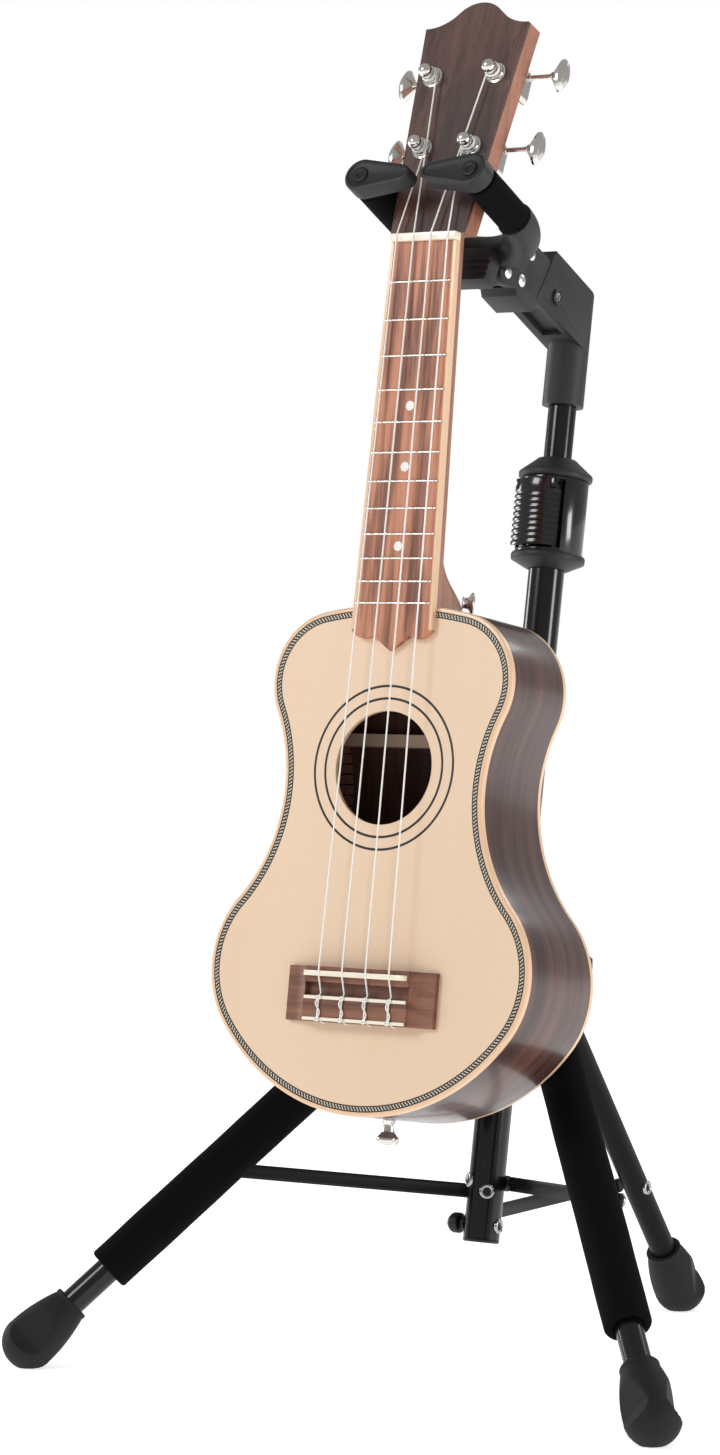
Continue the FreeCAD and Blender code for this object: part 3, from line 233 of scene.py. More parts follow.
class Finish:
    """A material with one principled shader, filled in by named sockets."""

    def __init__(self, name):
        self.material = bpy.data.materials.new(name)
        self.material.use_nodes = True
        self.tree = self.material.node_tree
        self.tree.nodes.clear()

    def node(self, kind, settings=None, out=0, **sockets):
        made = fill(self.tree, self.tree.nodes.new(kind), settings, sockets)
        return Val(self.tree, made.outputs[out])

    def coordinates(self, source="Object"):
        return self.node("ShaderNodeTexCoord", out=source)

    def stretched(self, scale, lean=0.0, source="Object"):
        """Coordinates that are leaned with the piece and stretched along its grain."""
        point = {"vector_type": "POINT"}
        where = self.coordinates(source)
        turned = self.node("ShaderNodeMapping", point, Vector=where, Rotation=(lean, 0.0, 0.0))
        return self.node("ShaderNodeMapping", point, Vector=turned, Scale=scale)

    def noise(self, vector, scale=1.0, detail=3.0, rough=0.5, distortion=0.0):
        return self.node("ShaderNodeTexNoise", Vector=vector, Scale=scale, Detail=detail, Roughness=rough,
                         Distortion=distortion)

    def mix(self, factor, a, b):
        return self.node("ShaderNodeMix", {"data_type": "RGBA"}, out=2, i0=factor, i6=a, i7=b)

    def ramp(self, factor, stops):
        """A grey ramp with two stops, each a place and a tone."""
        made = fill(self.tree, self.tree.nodes.new("ShaderNodeValToRGB"), None, {"Fac": factor})
        for element, (spot, tone) in zip(made.color_ramp.elements, stops):
            element.position = spot
            element.color = (tone, tone, tone, 1.0)
        return Val(self.tree, made.outputs[0])

    def bump(self, height, strength, distance):
        return self.node("ShaderNodeBump", Height=height, Strength=strength, Distance=distance)

    def close(self, **sockets):
        shader = self.node("ShaderNodeBsdfPrincipled", **sockets)
        end = self.tree.nodes.new("ShaderNodeOutputMaterial")
        self.tree.links.new(shader.socket, end.inputs["Surface"])
        return self.material


def colours(which):
    return getattr(bpy.context.scene, which)


def wood(name, base, streak, lean, streaks, fine, gloss, coat, source="Object", contrast=(0.38, 0.66)):
    """Streaks along the grain at two widths, with fine pores."""
    made = Finish(name)
    wide = made.noise(made.stretched(streaks, lean, source), 1.0, 3.0, 0.55, 0.35)
    narrow = made.noise(made.stretched(fine, lean, source), 1.0, 4.0, 0.6, 0.2)
    blend = made.ramp(wide, [(contrast[0], 0.0), (contrast[1], 1.0)])
    tone = made.mix(blend, base, streak)
    pores = made.ramp(narrow, [(0.30, 1.0), (0.47, 0.0)])
    tone = made.mix(pores * 0.75, tone, shaded(base, 0.55))
    rough = narrow * 0.12 + (gloss - 0.06)
    return made.close(Base_Color=tone, Roughness=rough, Coat_Weight=coat, Coat_Roughness=0.14,
                      Normal=made.bump(narrow, 0.10, 0.0002))


def spruce_finish():
    """Straight close grain across the board's width, with a soft cross silk."""
    tint = tuple(colours("ukulele_colours").spruce)
    made = Finish("spruce, satin")
    wander = made.noise(made.stretched((9.0, 3.0, 3.0), UKE_LEAN), 1.0, 2.0)
    where = made.node("ShaderNodeSeparateXYZ", Vector=made.coordinates())
    line = (where * 4700.0 + wander * 26.0).maths("SINE") * 0.5 + 0.5
    silk = made.noise(made.stretched((60.0, 60.0, 420.0), UKE_LEAN), 1.0, 3.0, 0.6)
    broad = made.noise(made.stretched((26.0, 4.0, 2.0), UKE_LEAN), 1.0, 2.0)
    dark = tuple(channel * shade for channel, shade in zip(tint, (0.90, 0.85, 0.78)))
    light = tuple(min(1.0, channel * shade) for channel, shade in zip(tint, (1.03, 1.05, 1.08)))
    tone = made.mix((line ** 3.0) * 0.42, tint, dark)
    tone = made.mix(made.ramp(silk, [(0.45, 0.0), (0.70, 1.0)]) * 0.22, tone, light)
    tone = made.mix(made.ramp(broad, [(0.40, 0.0), (0.65, 1.0)]) * 0.20, tone, dark)
    return made.close(Base_Color=tone, Roughness=0.42, Coat_Weight=0.25, Coat_Roughness=0.22)


def plain(name, tint, rough, metal=0.0, coat=0.0, grain=0.0, size=900.0, spec=0.5):
    """An even finish; grain is the height of a fine surface texture."""
    made = Finish(name)
    sockets = {"Base_Color": tint, "Roughness": rough, "Metallic": metal, "Coat_Weight": coat,
               "Coat_Roughness": 0.06, "Specular_IOR_Level": spec}
    if grain:
        speckle = made.noise(made.coordinates(), size, 3.0, 0.6)
        sockets["Normal"] = made.bump(speckle, grain, 0.0003)
        sockets["Roughness"] = speckle * 0.16 + (rough - 0.08)
    return made.close(**sockets)


def nylon_finish():
    made = Finish("string, clear nylon")
    return made.close(Base_Color=(0.86, 0.84, 0.80), Roughness=0.22, Coat_Weight=0.4, Subsurface_Weight=0.15,
                      Subsurface_Scale=0.001)


FINISH = {}


def make_finishes():
    tone = colours("ukulele_colours")
    stand = colours("stand_colours")
    rose, rose_light = tuple(tone.rosewood), tuple(tone.rosewood_light)
    board, board_dark = tuple(tone.board), tuple(tone.board_dark)
    mahogany = tuple(tone.mahogany)
    FINISH.update({
        "spruce": spruce_finish(),
        "rosewood": wood("rosewood, polished", rose, rose_light, UKE_LEAN,
                         (95, 30, 5), (900, 300, 28), 0.34, 0.35),
        "rosewood_sides": wood("rosewood, bent", rose, rose_light, 0.0,
                               (5, 95, 1), (30, 900, 1), 0.34, 0.35, "UV"),
        "board": wood("fretboard wood, oiled", board, board_dark, UKE_LEAN,
                      (210, 90, 14), (1300, 500, 42), 0.5, 0.0, contrast=(0.42, 0.62)),
        "bridge": wood("bridge wood, oiled", shaded(board, 0.45), shaded(board_dark, 0.7), UKE_LEAN,
                       (14, 90, 260), (60, 500, 1500), 0.5, 0.0, contrast=(0.42, 0.66)),
        "mahogany": wood("mahogany, satin", mahogany, shaded(mahogany, 0.62), UKE_LEAN,
                         (160, 160, 9), (1200, 1200, 70), 0.36, 0.25),
        "cream": plain("binding, maple", tuple(tone.cream), 0.35, coat=0.3),
        "bone": plain("bone, polished", tuple(tone.bone), 0.28, coat=0.3),
        "dark_line": plain("inlay, dark", (0.012, 0.010, 0.010), 0.4),
        "pale_line": plain("inlay, pale", (0.66, 0.58, 0.46), 0.4),
        "pearl": plain("marker, pearl", (0.86, 0.86, 0.82), 0.2, coat=0.4),
        "nickel": plain("nickel plate", (0.72, 0.69, 0.65), 0.16, metal=1.0),
        "fret_metal": plain("nickel silver", (0.78, 0.76, 0.72), 0.26, metal=1.0),
        "nylon": nylon_finish(),
        "moulded": plain("moulded plastic", tuple(stand.moulded), 0.5, grain=0.12, size=2600.0, spec=0.38),
        "moulded_dark": plain("moulded plastic, dark", (0.006, 0.006, 0.007), 0.45, spec=0.35),
        "clutch_gloss": plain("moulded plastic, gloss", (0.006, 0.005, 0.006), 0.17, coat=0.2),
        "tube_satin": plain("satin tube paint", tuple(stand.tube), 0.42, spec=0.12),
        "tube": plain("gloss paint", tuple(stand.tube), 0.17, coat=0.0, spec=0.4),
        "bar": plain("satin paint", (0.006, 0.006, 0.007), 0.42, spec=0.3),
        "foam": plain("foam", tuple(stand.foam), 0.93, grain=0.55, size=1500.0, spec=0.08),
        "boot": plain("rubber", tuple(stand.boot), 0.66, grain=0.16, size=1700.0, spec=0.28),
        "rivet_dark": plain("rivet, blackened", (0.05, 0.05, 0.05), 0.3, metal=1.0),
        "rivet_rim": plain("rivet, rim", (0.42, 0.42, 0.43), 0.22, metal=1.0),
        "rivet_bright": plain("rivet, bright", (0.85, 0.84, 0.83), 0.2, metal=1.0),
    })


# ---------------------------------------------------------------- meshes
def shown(name, data):
    """An object of the scene that holds the data."""
    obj = bpy.data.objects.new(name, data)
    bpy.context.scene.collection.objects.link(obj)
    return obj


def piece(name, verts, faces, finish, at=None, smooth=35.0, body=None, slot=None, stands_for=()):
    """A mesh object from millimetre points in a local frame, with its normals outwards."""
    data = bpy.data.meshes.new(name)
    data.from_pydata([tuple((at @ Vector(v) if at else Vector(v)) * MM) for v in verts], [], faces)
    made = bmesh.new()
    made.from_mesh(data)
    bmesh.ops.recalc_face_normals(made, faces=made.faces)
    made.to_mesh(data)
    made.free()
    return finished(shown(name, data), finish, smooth, body, stands_for)


def finished(obj, finish, smooth=35.0, body=None, stands_for=()):
    """Material, shading, body and the CAD nodes that the piece stands for."""
    obj.data.materials.clear()
    obj.data.materials.append(FINISH[finish])
    obj.data.polygons.foreach_set("use_smooth", [True] * len(obj.data.polygons))
    obj.data.set_sharp_from_angle(angle=math.radians(smooth))
    if body:
        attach(obj, body)
    if stands_for:
        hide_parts(*stands_for)
    return obj


def circle(steps):
    """Cosine and sine at even steps of one turn."""
    return [(math.cos(2 * math.pi * k / steps), math.sin(2 * math.pi * k / steps)) for k in range(steps)]


def skin(rows, width, closed=False, capped=False):
    """Faces between rows of points that each run round; closed joins the last row to the first."""
    faces = []
    for i in range(rows if closed else rows - 1):
        j = (i + 1) % rows
        for k in range(width):
            n = (k + 1) % width
            faces.append([i * width + k, i * width + n, j * width + n, j * width + k])
    if capped:
        faces += [list(range(width)), [(rows - 1) * width + k for k in range(width)]]
    return faces


def spun(profile, steps=48, closed=True):
    """Turn (radius, height) points about z; radius 0 ends close on the axis."""
    verts, faces, rings = [], [], []
    for radius, height in profile:
        if radius < 1e-6:
            rings.append([len(verts)] * steps)
            verts.append((0, 0, height))
        else:
            rings.append(list(range(len(verts), len(verts) + steps)))
            verts += [(radius * c, radius * s, height) for c, s in circle(steps)]
    pairs = list(zip(rings, rings[1:]))
    if closed:
        pairs.append((rings[-1], rings[0]))
    for low, high in pairs:
        for k in range(steps):
            n = (k + 1) % steps
            corners = [low[k], low[n], high[n], high[k]]
            unique = list(dict.fromkeys(corners))
            if len(unique) > 2:
                faces.append(unique)
    return verts, faces


def joined(parts):
    """Several (verts, faces) as one."""
    verts, faces = [], []
    for part_verts, part_faces in parts:
        base = len(verts)
        verts += list(part_verts)
        faces += [[base + index for index in face] for face in part_faces]
    return verts, faces


def moved(shape, matrix):
    verts, faces = shape
    return [tuple(matrix @ Vector(v)) for v in verts], faces


def along(origin, direction):
    """A matrix that puts z along a direction."""
    return Matrix.Translation(Vector(origin)) @ Vector(direction).to_track_quat("Z", "Y").to_matrix().to_4x4()


def swept_ring(loop, profile):
    """A closed profile carried round a closed loop. profile(spot) gives the points at one spot."""
    rows = [profile(spot) for spot in loop]
    return [point for row in rows for point in row], skin(len(rows), len(rows[0]), closed=True)


def softened(node, finish, width, body, smooth=35.0, angle=34.0):
    """A copy of a CAD node with its flat faces merged and its edges rounded."""
    obj = shown("soft_" + node, frame["nodes"][node].data.copy())
    made = bmesh.new()
    made.from_mesh(obj.data)
    bmesh.ops.remove_doubles(made, verts=made.verts, dist=2e-6)
    bmesh.ops.dissolve_limit(made, angle_limit=math.radians(0.6), verts=made.verts, edges=made.edges)
    bmesh.ops.recalc_face_normals(made, faces=made.faces)
    made.to_mesh(obj.data)
    made.free()
    if obj.data.has_custom_normals:
        obj.data.normals_split_custom_set([(0, 0, 0)] * len(obj.data.loops))
    bevel = obj.modifiers.new("rounded edges", "BEVEL")
    bevel.width = width * MM
    bevel.segments = 2
    bevel.limit_method = "ANGLE"
    bevel.angle_limit = math.radians(angle)
    baked(obj)
    return finished(obj, finish, smooth, body, (node,))


def baked(obj):
    """Turn the modifiers' result into a plain mesh."""
    shape = obj.evaluated_get(bpy.context.evaluated_depsgraph_get())
    data = bpy.data.meshes.new_from_object(shape)
    obj.modifiers.clear()
    obj.data = data
    return obj


def repainted(finish, *nodes):
    """CAD nodes that are shown as they are, with a finish."""
    for node in nodes:
        data = frame["nodes"][node].data
        data.materials.clear()
        data.materials.append(FINISH[finish])


# ---------------------------------------------------------------- geometry nodes
class Tree:
    """A geometry tree with named sizes as inputs; it ends in Realize Instances and Set Material."""

    def __init__(self, name, **sizes):
        self.tree = bpy.data.node_groups.new(name, "GeometryNodeTree")
        face = self.tree.interface
        for way in ("INPUT", "OUTPUT"):
            face.new_socket("Geometry", in_out=way, socket_type="NodeSocketGeometry")
        self.sizes = {}
        for key, default in sizes.items():
            kind = "NodeSocketVector" if isinstance(default, tuple) else "NodeSocketFloat"
            made = face.new_socket(key, in_out="INPUT", socket_type=kind)
            made.default_value = default
            self.sizes[key] = made.identifier
        self.entry = self.tree.nodes.new("NodeGroupInput")

    def add(self, kind, settings=None, **sockets):
        return fill(self.tree, self.tree.nodes.new(kind), settings, sockets)

    def given(self, name):
        return self.entry.outputs[name]

    def end(self, instances, finish):
        real = self.add("GeometryNodeRealizeInstances", Geometry=instances)
        painted = self.add("GeometryNodeSetMaterial", Geometry=real.outputs[0], Material=FINISH[finish])
        out = self.tree.nodes.new("NodeGroupOutput")
        self.tree.links.new(painted.outputs[0], out.inputs[0])
        return self


def grown(name, tree, verts, edges, at, values, finish, body, stands_for=(), marks=None):
    """Run a tree on guide points and keep the result as a plain mesh on one body."""
    data = bpy.data.meshes.new(name)
    data.from_pydata([tuple((at @ Vector(v)) * MM) for v in verts], edges, [])
    for key, numbers in (marks or {}).items():
        kind = "FLOAT_VECTOR" if hasattr(numbers[0], "__len__") else "FLOAT"
        field = data.attributes.new(key, kind, "POINT")
        flat = [n for vector in numbers for n in vector] if kind == "FLOAT_VECTOR" else numbers
        field.data.foreach_set("vector" if kind == "FLOAT_VECTOR" else "value", flat)
    obj = shown(name, data)
    modifier = obj.modifiers.new(name, "NODES")
    modifier.node_group = tree.tree
    for key, value in values.items():
        modifier[tree.sizes[key]] = value
    baked(obj)
    return finished(obj, finish, body=body, stands_for=stands_for)


def blocks_on_path(name, finish):
    """Small blocks at a pitch along a closed path; each is turned to the path and to 'out'."""
    tree = Tree(name, Pitch=0.002, Long=0.001, Wide=0.001, High=0.001, Slant=0.0)
    path = tree.add("GeometryNodeMeshToCurve", Mesh=tree.given("Geometry"))
    spots = tree.add("GeometryNodeCurveToPoints", {"mode": "LENGTH"}, Curve=path.outputs[0],
                     Length=tree.given("Pitch"))
    out = tree.add("GeometryNodeInputNamedAttribute", {"data_type": "FLOAT_VECTOR"}, Name="out")
    first = tree.add("FunctionNodeAlignRotationToVector", {"axis": "X"}, Vector=spots.outputs["Tangent"])
    second = tree.add("FunctionNodeAlignRotationToVector", {"axis": "Y", "pivot_axis": "X"},
                      Rotation=first.outputs[0], Vector=out.outputs["Attribute"])
    slant = tree.add("ShaderNodeCombineXYZ", Z=tree.given("Slant"))
    turn = tree.add("FunctionNodeRotateRotation", {"rotation_space": "LOCAL"}, Rotation=second.outputs[0],
                    Rotate_By=slant.outputs[0])
    size = tree.add("ShaderNodeCombineXYZ", X=tree.given("Long"), Y=tree.given("Wide"), Z=tree.given("High"))
    block = tree.add("GeometryNodeMeshCube", Size=size.outputs[0])
    many = tree.add("GeometryNodeInstanceOnPoints", Points=spots.outputs["Points"], Instance=block.outputs[0],
                    Rotation=turn.outputs[0])
    return tree.end(many.outputs[0], finish)


def bars_on_points(name, finish):
    """Half-round bars on points, each as long as its point's 'reach'."""
    tree = Tree(name, Radius=0.0006, Turn=(0.0, 0.0, 0.0))
    reach = tree.add("GeometryNodeInputNamedAttribute", {"data_type": "FLOAT"}, Name="reach")
    bar = tree.add("GeometryNodeMeshCylinder", Vertices=20, Side_Segments=1, Depth=1.0,
                   Radius=tree.given("Radius"))
    size = tree.add("ShaderNodeCombineXYZ", X=1.0, Y=1.45, Z=reach.outputs["Attribute"])
    many = tree.add("GeometryNodeInstanceOnPoints", Points=tree.given("Geometry"),
                    Instance=bar.outputs["Mesh"], Rotation=tree.given("Turn"), Scale=size.outputs[0])
    return tree.end(many.outputs[0], finish)


def screws_on_points(name, finish):
    """Low domed screw heads on points, each facing its point's 'out'."""
    tree = Tree(name, Radius=0.0015, High=0.001)
    out = tree.add("GeometryNodeInputNamedAttribute", {"data_type": "FLOAT_VECTOR"}, Name="out")
    turn = tree.add("FunctionNodeAlignRotationToVector", {"axis": "Z"}, Vector=out.outputs["Attribute"])
    head = tree.add("GeometryNodeMeshUVSphere", Segments=24, Rings=10, Radius=1.0)
    radius = tree.given("Radius")
    size = tree.add("ShaderNodeCombineXYZ", X=radius, Y=radius, Z=tree.given("High"))
    many = tree.add("GeometryNodeInstanceOnPoints", Points=tree.given("Geometry"),
                    Instance=head.outputs["Mesh"], Rotation=turn.outputs[0], Scale=size.outputs[0])
    return tree.end(many.outputs[0], finish)


# ---------------------------------------------------------------- the ukulele's outline
BODY_LONG = 240.8
UPPER = (67.0, 36.8, 33.5)
WAIST = (55.5, 86.8)
LOWER = (88.9, 173.0)
DEEP_NECK, DEEP_TAIL = 46.8, 63.5
BINDING_WIDE, BINDING_HIGH = 2.0, 3.0
PLATE_THICK = 2.2
HOLE_AT, HOLE_R = 77.4, 26.9


def body_top():
    """Distance from the nut to the body, at the twelfth fret."""
    return colours("ukulele_sizes").scale / 2


def fret_at(number):
    return colours("ukulele_sizes").scale * (1 - 2 ** (-number / 12))


def arcs():
    """Centres, radii and senses of the right half's arcs, from the top to the tail."""
    (upper_half, upper_at, upper_r), (waist_half, waist_at), (lower_half, lower_at) = UPPER, WAIST, LOWER
    above, below = upper_half - waist_half, lower_half - waist_half
    waist_r = (above ** 2 + (waist_at - upper_at) ** 2) / (2 * above) - upper_r
    lower_r = (below ** 2 + (lower_at - waist_at) ** 2) / (2 * below) - waist_r
    upper_x = upper_half - upper_r
    top_r = (upper_x ** 2 + upper_at ** 2 - upper_r ** 2) / (2 * (upper_at - upper_r))
    lower_x, drop = lower_half - lower_r, BODY_LONG - lower_at
    tail_r = (lower_x ** 2 + drop ** 2 - lower_r ** 2) / (2 * (drop - lower_r))
    return [(0, top_r, top_r, 1), (upper_x, upper_at, upper_r, 1),
            (waist_half + waist_r, waist_at, waist_r, -1), (lower_x, lower_at, lower_r, 1),
            (0, BODY_LONG - tail_r, tail_r, 1)]


def outline(step=2.2):
    """Points round the body as (x, v, outward x, outward v, distance along), v down from the body's top."""
    rings = arcs()
    joints = [(0.0, 0.0)]
    for (ax, av, ar, away), (bx, bv, br, bway) in zip(rings, rings[1:]):
        gap = math.hypot(bx - ax, bv - av)
        if away != bway or ar > br:
            joints.append((ax + (bx - ax) / gap * ar, av + (bv - av) / gap * ar))
        else:
            joints.append((bx + (ax - bx) / gap * br, bv + (av - bv) / gap * br))
    joints.append((0.0, BODY_LONG))
    half, gone = [], 0.0
    for (cx, cv, r, way), a, b in zip(rings, joints, joints[1:]):
        start, end = math.atan2(a[1] - cv, a[0] - cx), math.atan2(b[1] - cv, b[0] - cx)
        turn = (end - start + math.pi) % (2 * math.pi) - math.pi
        count = max(3, round(abs(turn) * r / step))
        for k in range(count):
            angle = start + turn * k / count
            half.append((cx + r * math.cos(angle), cv + r * math.sin(angle), way * math.cos(angle),
                         way * math.sin(angle), gone + abs(turn) * r * k / count))
        gone += abs(turn) * r
    half.append((0.0, BODY_LONG, 0.0, 1.0, gone))
    other = [(-x, v, -nx, nv, 2 * gone - d) for x, v, nx, nv, d in reversed(half[1:-1])]
    return half + other


def back_at(v, inwards=0.0):
    return BOARD_THICK + DEEP_NECK + (DEEP_TAIL - DEEP_NECK) * v / BODY_LONG - inwards


def ring_profile(points):
    """points are (inset, y, from the back?)."""
    def at_spot(spot):
        x, v, nx, nv, _ = spot
        made = []
        for inset, depth, from_back in points:
            y = back_at(v, depth) if from_back else BOARD_THICK + depth
            made.append((x - nx * inset, y, -(body_top() + v - nv * inset)))
        return made
    return at_spot


def edge_path(loop, inset, depth, from_back=False):
    """Guide points round the body, the edges between them and their ways outwards."""
    verts = [ring_profile([(inset, depth, from_back)])(spot)[0] for spot in loop]
    edges = [(k, (k + 1) % len(verts)) for k in range(len(verts))]
    return verts, edges, [tuple(UKE.to_3x3() @ Vector((nx, 0, -nv))) for _, _, nx, nv, _ in loop]


# ---------------------------------------------------------------- ukulele pieces
def body_sides(loop):
    """Bent wood between the bindings; its grain runs round the body."""
    edge, thick, width = 2.9, 1.9, 6
    section = [(0.06, edge, False), (0.0, edge + 0.5, False), (0.0, edge + 0.5, True), (0.06, edge, True),
               (thick, edge, True), (thick, edge, False)]
    shape = swept_ring(loop, ring_profile(section))
    obj = piece("body_sides_bent", *shape, "rosewood_sides", UKE, 60, "ukulele", "rosewood", ("body_sides",))
    layer = obj.data.uv_layers.new(name="grain")
    count = len(loop)
    total = loop[-1][4] + (Vector(loop[-1][:2]) - Vector(loop[0][:2])).length
    inverse = UKE.inverted()
    for polygon in obj.data.polygons:
        last = any(index // width == count - 1 for index in polygon.vertices)
        for corner, index in zip(polygon.loop_indices, polygon.vertices):
            spot = index // width
            gone = total if last and spot == 0 else loop[spot][4]
            deep = (inverse @ (obj.data.vertices[index].co / MM)).y
            layer.data[corner].uv = (gone * MM, deep * MM)


def bindings(loop):
    r = 0.8
    section = [(BINDING_WIDE, 0.0), (r, 0.0), (r * 0.3, r * 0.3), (0.0, r), (0.0, BINDING_HIGH),
               (BINDING_WIDE, BINDING_HIGH)]
    strips = [swept_ring(loop, ring_profile([(*point, from_back) for point in section]))
              for from_back in (False, True)]
    piece("binding_strips", *joined(strips), "cream", UKE, 50, "ukulele", "cream", ("body_binding",))


def purfling(loop):
    """Pale base, dark twists across it and a dark line on each side."""
    sizes = colours("ukulele_sizes")
    start, wide, line = BINDING_WIDE + 0.1, sizes.purfling, 0.6

    def band(inset, across, proud, deep):
        corners = ((inset, -proud), (inset, deep), (inset + across, deep), (inset + across, -proud))
        return swept_ring(loop, ring_profile([(*corner, False) for corner in corners]))

    piece("purfling_base", *band(start, wide, 0.04, 0.5), "pale_line", UKE, 50, "ukulele", "cream")
    lines = [band(inset, line, 0.07, 0.3) for inset in (start, start + wide - line)]
    piece("purfling_lines", *joined(lines), "dark_line", UKE, 50, "ukulele", "rosewood")
    verts, edges, outs = edge_path(loop, start + wide / 2, -0.02)
    tree = blocks_on_path("rope twists", "dark_line")
    grown("purfling_twists", tree, verts, edges, UKE,
          {"Pitch": sizes.rope_pitch * MM, "Long": 0.85 * MM, "Wide": (wide - 0.9) * MM, "High": 0.1 * MM,
           "Slant": math.radians(38)}, "dark_line", "ukulele", marks={"out": outs})


def kerfing(loop):
    """The saw-cut lining blocks along the inside of both edges."""
    tree = blocks_on_path("lining blocks", "mahogany")
    for name in ("front", "back"):
        verts, edges, outs = edge_path(loop, 4.0, PLATE_THICK + BINDING_HIGH, name == "back")
        stands_for = ("body_linings",) if name == "front" else ()
        grown("kerfed_lining_" + name, tree, verts, edges, UKE,
              {"Pitch": 5.0 * MM, "Long": 4.3 * MM, "Wide": 3.8 * MM, "High": 5.8 * MM, "Slant": 0.0},
              "mahogany", "ukulele", stands_for, marks={"out": outs})


def rosette():
    sizes = colours("ukulele_sizes")
    at = UKE @ Matrix.Translation((0, BOARD_THICK, -(body_top() + HOLE_AT))) @ TO_FRONT
    rings = []
    deep, proud, steps = -0.2, 0.05, 128
    for radius in (sizes.ring_inner, sizes.ring_outer):
        inner, outer = radius - sizes.ring_wide / 2, radius + sizes.ring_wide / 2
        rings.append(spun([(inner, deep), (inner, proud), (outer, proud), (outer, deep)], steps))
    piece("rosette_rings", *joined(rings), "dark_line", at, 40, "ukulele", "rosewood")
    edge = spun([(HOLE_R - 0.04, -PLATE_THICK), (HOLE_R - 0.04, -0.35), (HOLE_R + 0.3, 0.02),
                 (HOLE_R + 0.6, -0.02), (HOLE_R + 0.3, -PLATE_THICK)], steps)
    piece("sound_hole_edge", *edge, "cream", at, 40, "ukulele", "spruce")


def fretboard_details():
    sizes = colours("ukulele_sizes")
    half_nut, half_body = 18.2, 22.2
    end = body_top() + 12.5

    def half(v):
        return half_nut + (half_body - half_nut) * v / body_top()

    strips = []
    wide, proud = 1.5, 0.06
    for side in (-1, 1):
        section = [(proud, -proud), (proud, BOARD_THICK - 0.02), (-wide, BOARD_THICK - 0.02), (-wide, -proud)]
        verts = [(side * (half(v) + across), y, -v) for v in (0.05, end) for across, y in section]
        faces = [[0, 1, 5, 4], [1, 2, 6, 5], [2, 3, 7, 6], [3, 0, 4, 7], [0, 3, 2, 1], [4, 5, 6, 7]]
        strips.append((verts, faces))
    piece("board_binding", *joined(strips), "cream", UKE, 30, "ukulele", "cream")
    frets = [fret_at(number) for number in range(1, 13)]
    tree = bars_on_points("fret bars", "fret_metal")
    grown("fret_wires", tree, [(0, -0.02, -v) for v in frets], [], UKE,
          {"Radius": 0.62 * MM, "Turn": (0.0, math.pi / 2, 0.0)}, "fret_metal", "ukulele",
          ("frets",), marks={"reach": [2 * (half(v) - wide) * MM for v in frets]})
    dots = []
    for number in (5, 7, 10):
        v = (fret_at(number) + fret_at(number - 1)) / 2
        disc = spun([(0, -0.3), (sizes.marker, -0.3), (sizes.marker, 0.05), (0, 0.09)], 40, closed=False)
        dots.append(moved(disc, Matrix.Translation((0, 0, -v)) @ TO_FRONT))
    piece("fret_markers", *joined(dots), "pearl", UKE, 40, "ukulele", "bone")


BRIDGE_FROM, BRIDGE_TO = 172.2, 198.0
BRIDGE_HALF, BLOCK_HALF, BLOCK_HIGH, WING_HIGH = 41.0, 29.0, 7.6, 3.0
SADDLE_AT, SADDLE_HIGH = 175.6, 2.6
STRING_AT_NUT, STRING_AT_SADDLE = 9.6, 13.1
BLOCK_TOP = BOARD_THICK - BLOCK_HIGH
STRIP_PROUD = 0.45
POST_R = 3.0


def tie_strips():
    """Distances from the nut to the two strips on the tie block."""
    return body_top() + BRIDGE_FROM + 14.6, body_top() + BRIDGE_TO - 1.1


def bridge_piece():
    """Tie block with a channel behind the saddle, and wings that scoop down from it."""
    long = BRIDGE_TO - BRIDGE_FROM
    stations = []
    wing_steps = 7
    for k in range(wing_steps + 1):
        share = k / wing_steps
        x = BRIDGE_HALF - (BRIDGE_HALF - BLOCK_HALF) * share
        high = WING_HIGH + (BLOCK_HIGH - 1.0 - WING_HIGH) * max(0.0, share * 1.5 - 0.5) ** 2
        stations.append((x, high, False))
    stations.append((BLOCK_HALF - 0.05, BLOCK_HIGH, True))
    stations = stations + [(-x, high, tied) for x, high, tied in reversed(stations)]
    channel_from, channel_to, channel_deep, round_off = 7.4, 13.6, 4.2, 0.5
    verts = []
    for x, high, tied in stations:
        top = BOARD_THICK - high
        drop = channel_deep if tied else 0.0
        section = [(BOARD_THICK + 0.02, 0.0), (top + round_off, 0.0), (top, round_off), (top, channel_from),
                   (top + drop, channel_from + 0.3), (top + drop, channel_to - 0.3), (top, channel_to),
                   (top, long - round_off), (top + round_off, long), (BOARD_THICK + 0.02, long)]
        verts += [(x, y, -(body_top() + BRIDGE_FROM + v)) for y, v in section]
    faces = skin(len(stations), len(section), capped=True)
    piece("bridge_carved", verts, faces, "bridge", UKE, 25, "ukulele", "rosewood", ("bridge",))
    strips = []
    half, half_wide = BLOCK_HALF - 0.6, 0.75
    for v in tie_strips():
        strips.append(box_shape(-half, half, BLOCK_TOP - STRIP_PROUD, BLOCK_TOP + 0.6,
                                -v - half_wide, -v + half_wide))
    piece("tie_strips", *joined(strips), "bone", UKE, 30, "ukulele", "bone")
    softened("saddle", "bone", 0.7, "ukulele")
    softened("nut", "bone", 0.6, "ukulele")


def box_shape(x0, x1, y0, y1, z0, z1):
    verts = [(x, y, z) for x in (x0, x1) for y in (y0, y1) for z in (z0, z1)]
    return verts, [[0, 1, 3, 2], [4, 6, 7, 5], [0, 4, 5, 1], [2, 3, 7, 6], [0, 2, 6, 4], [1, 5, 7, 3]]


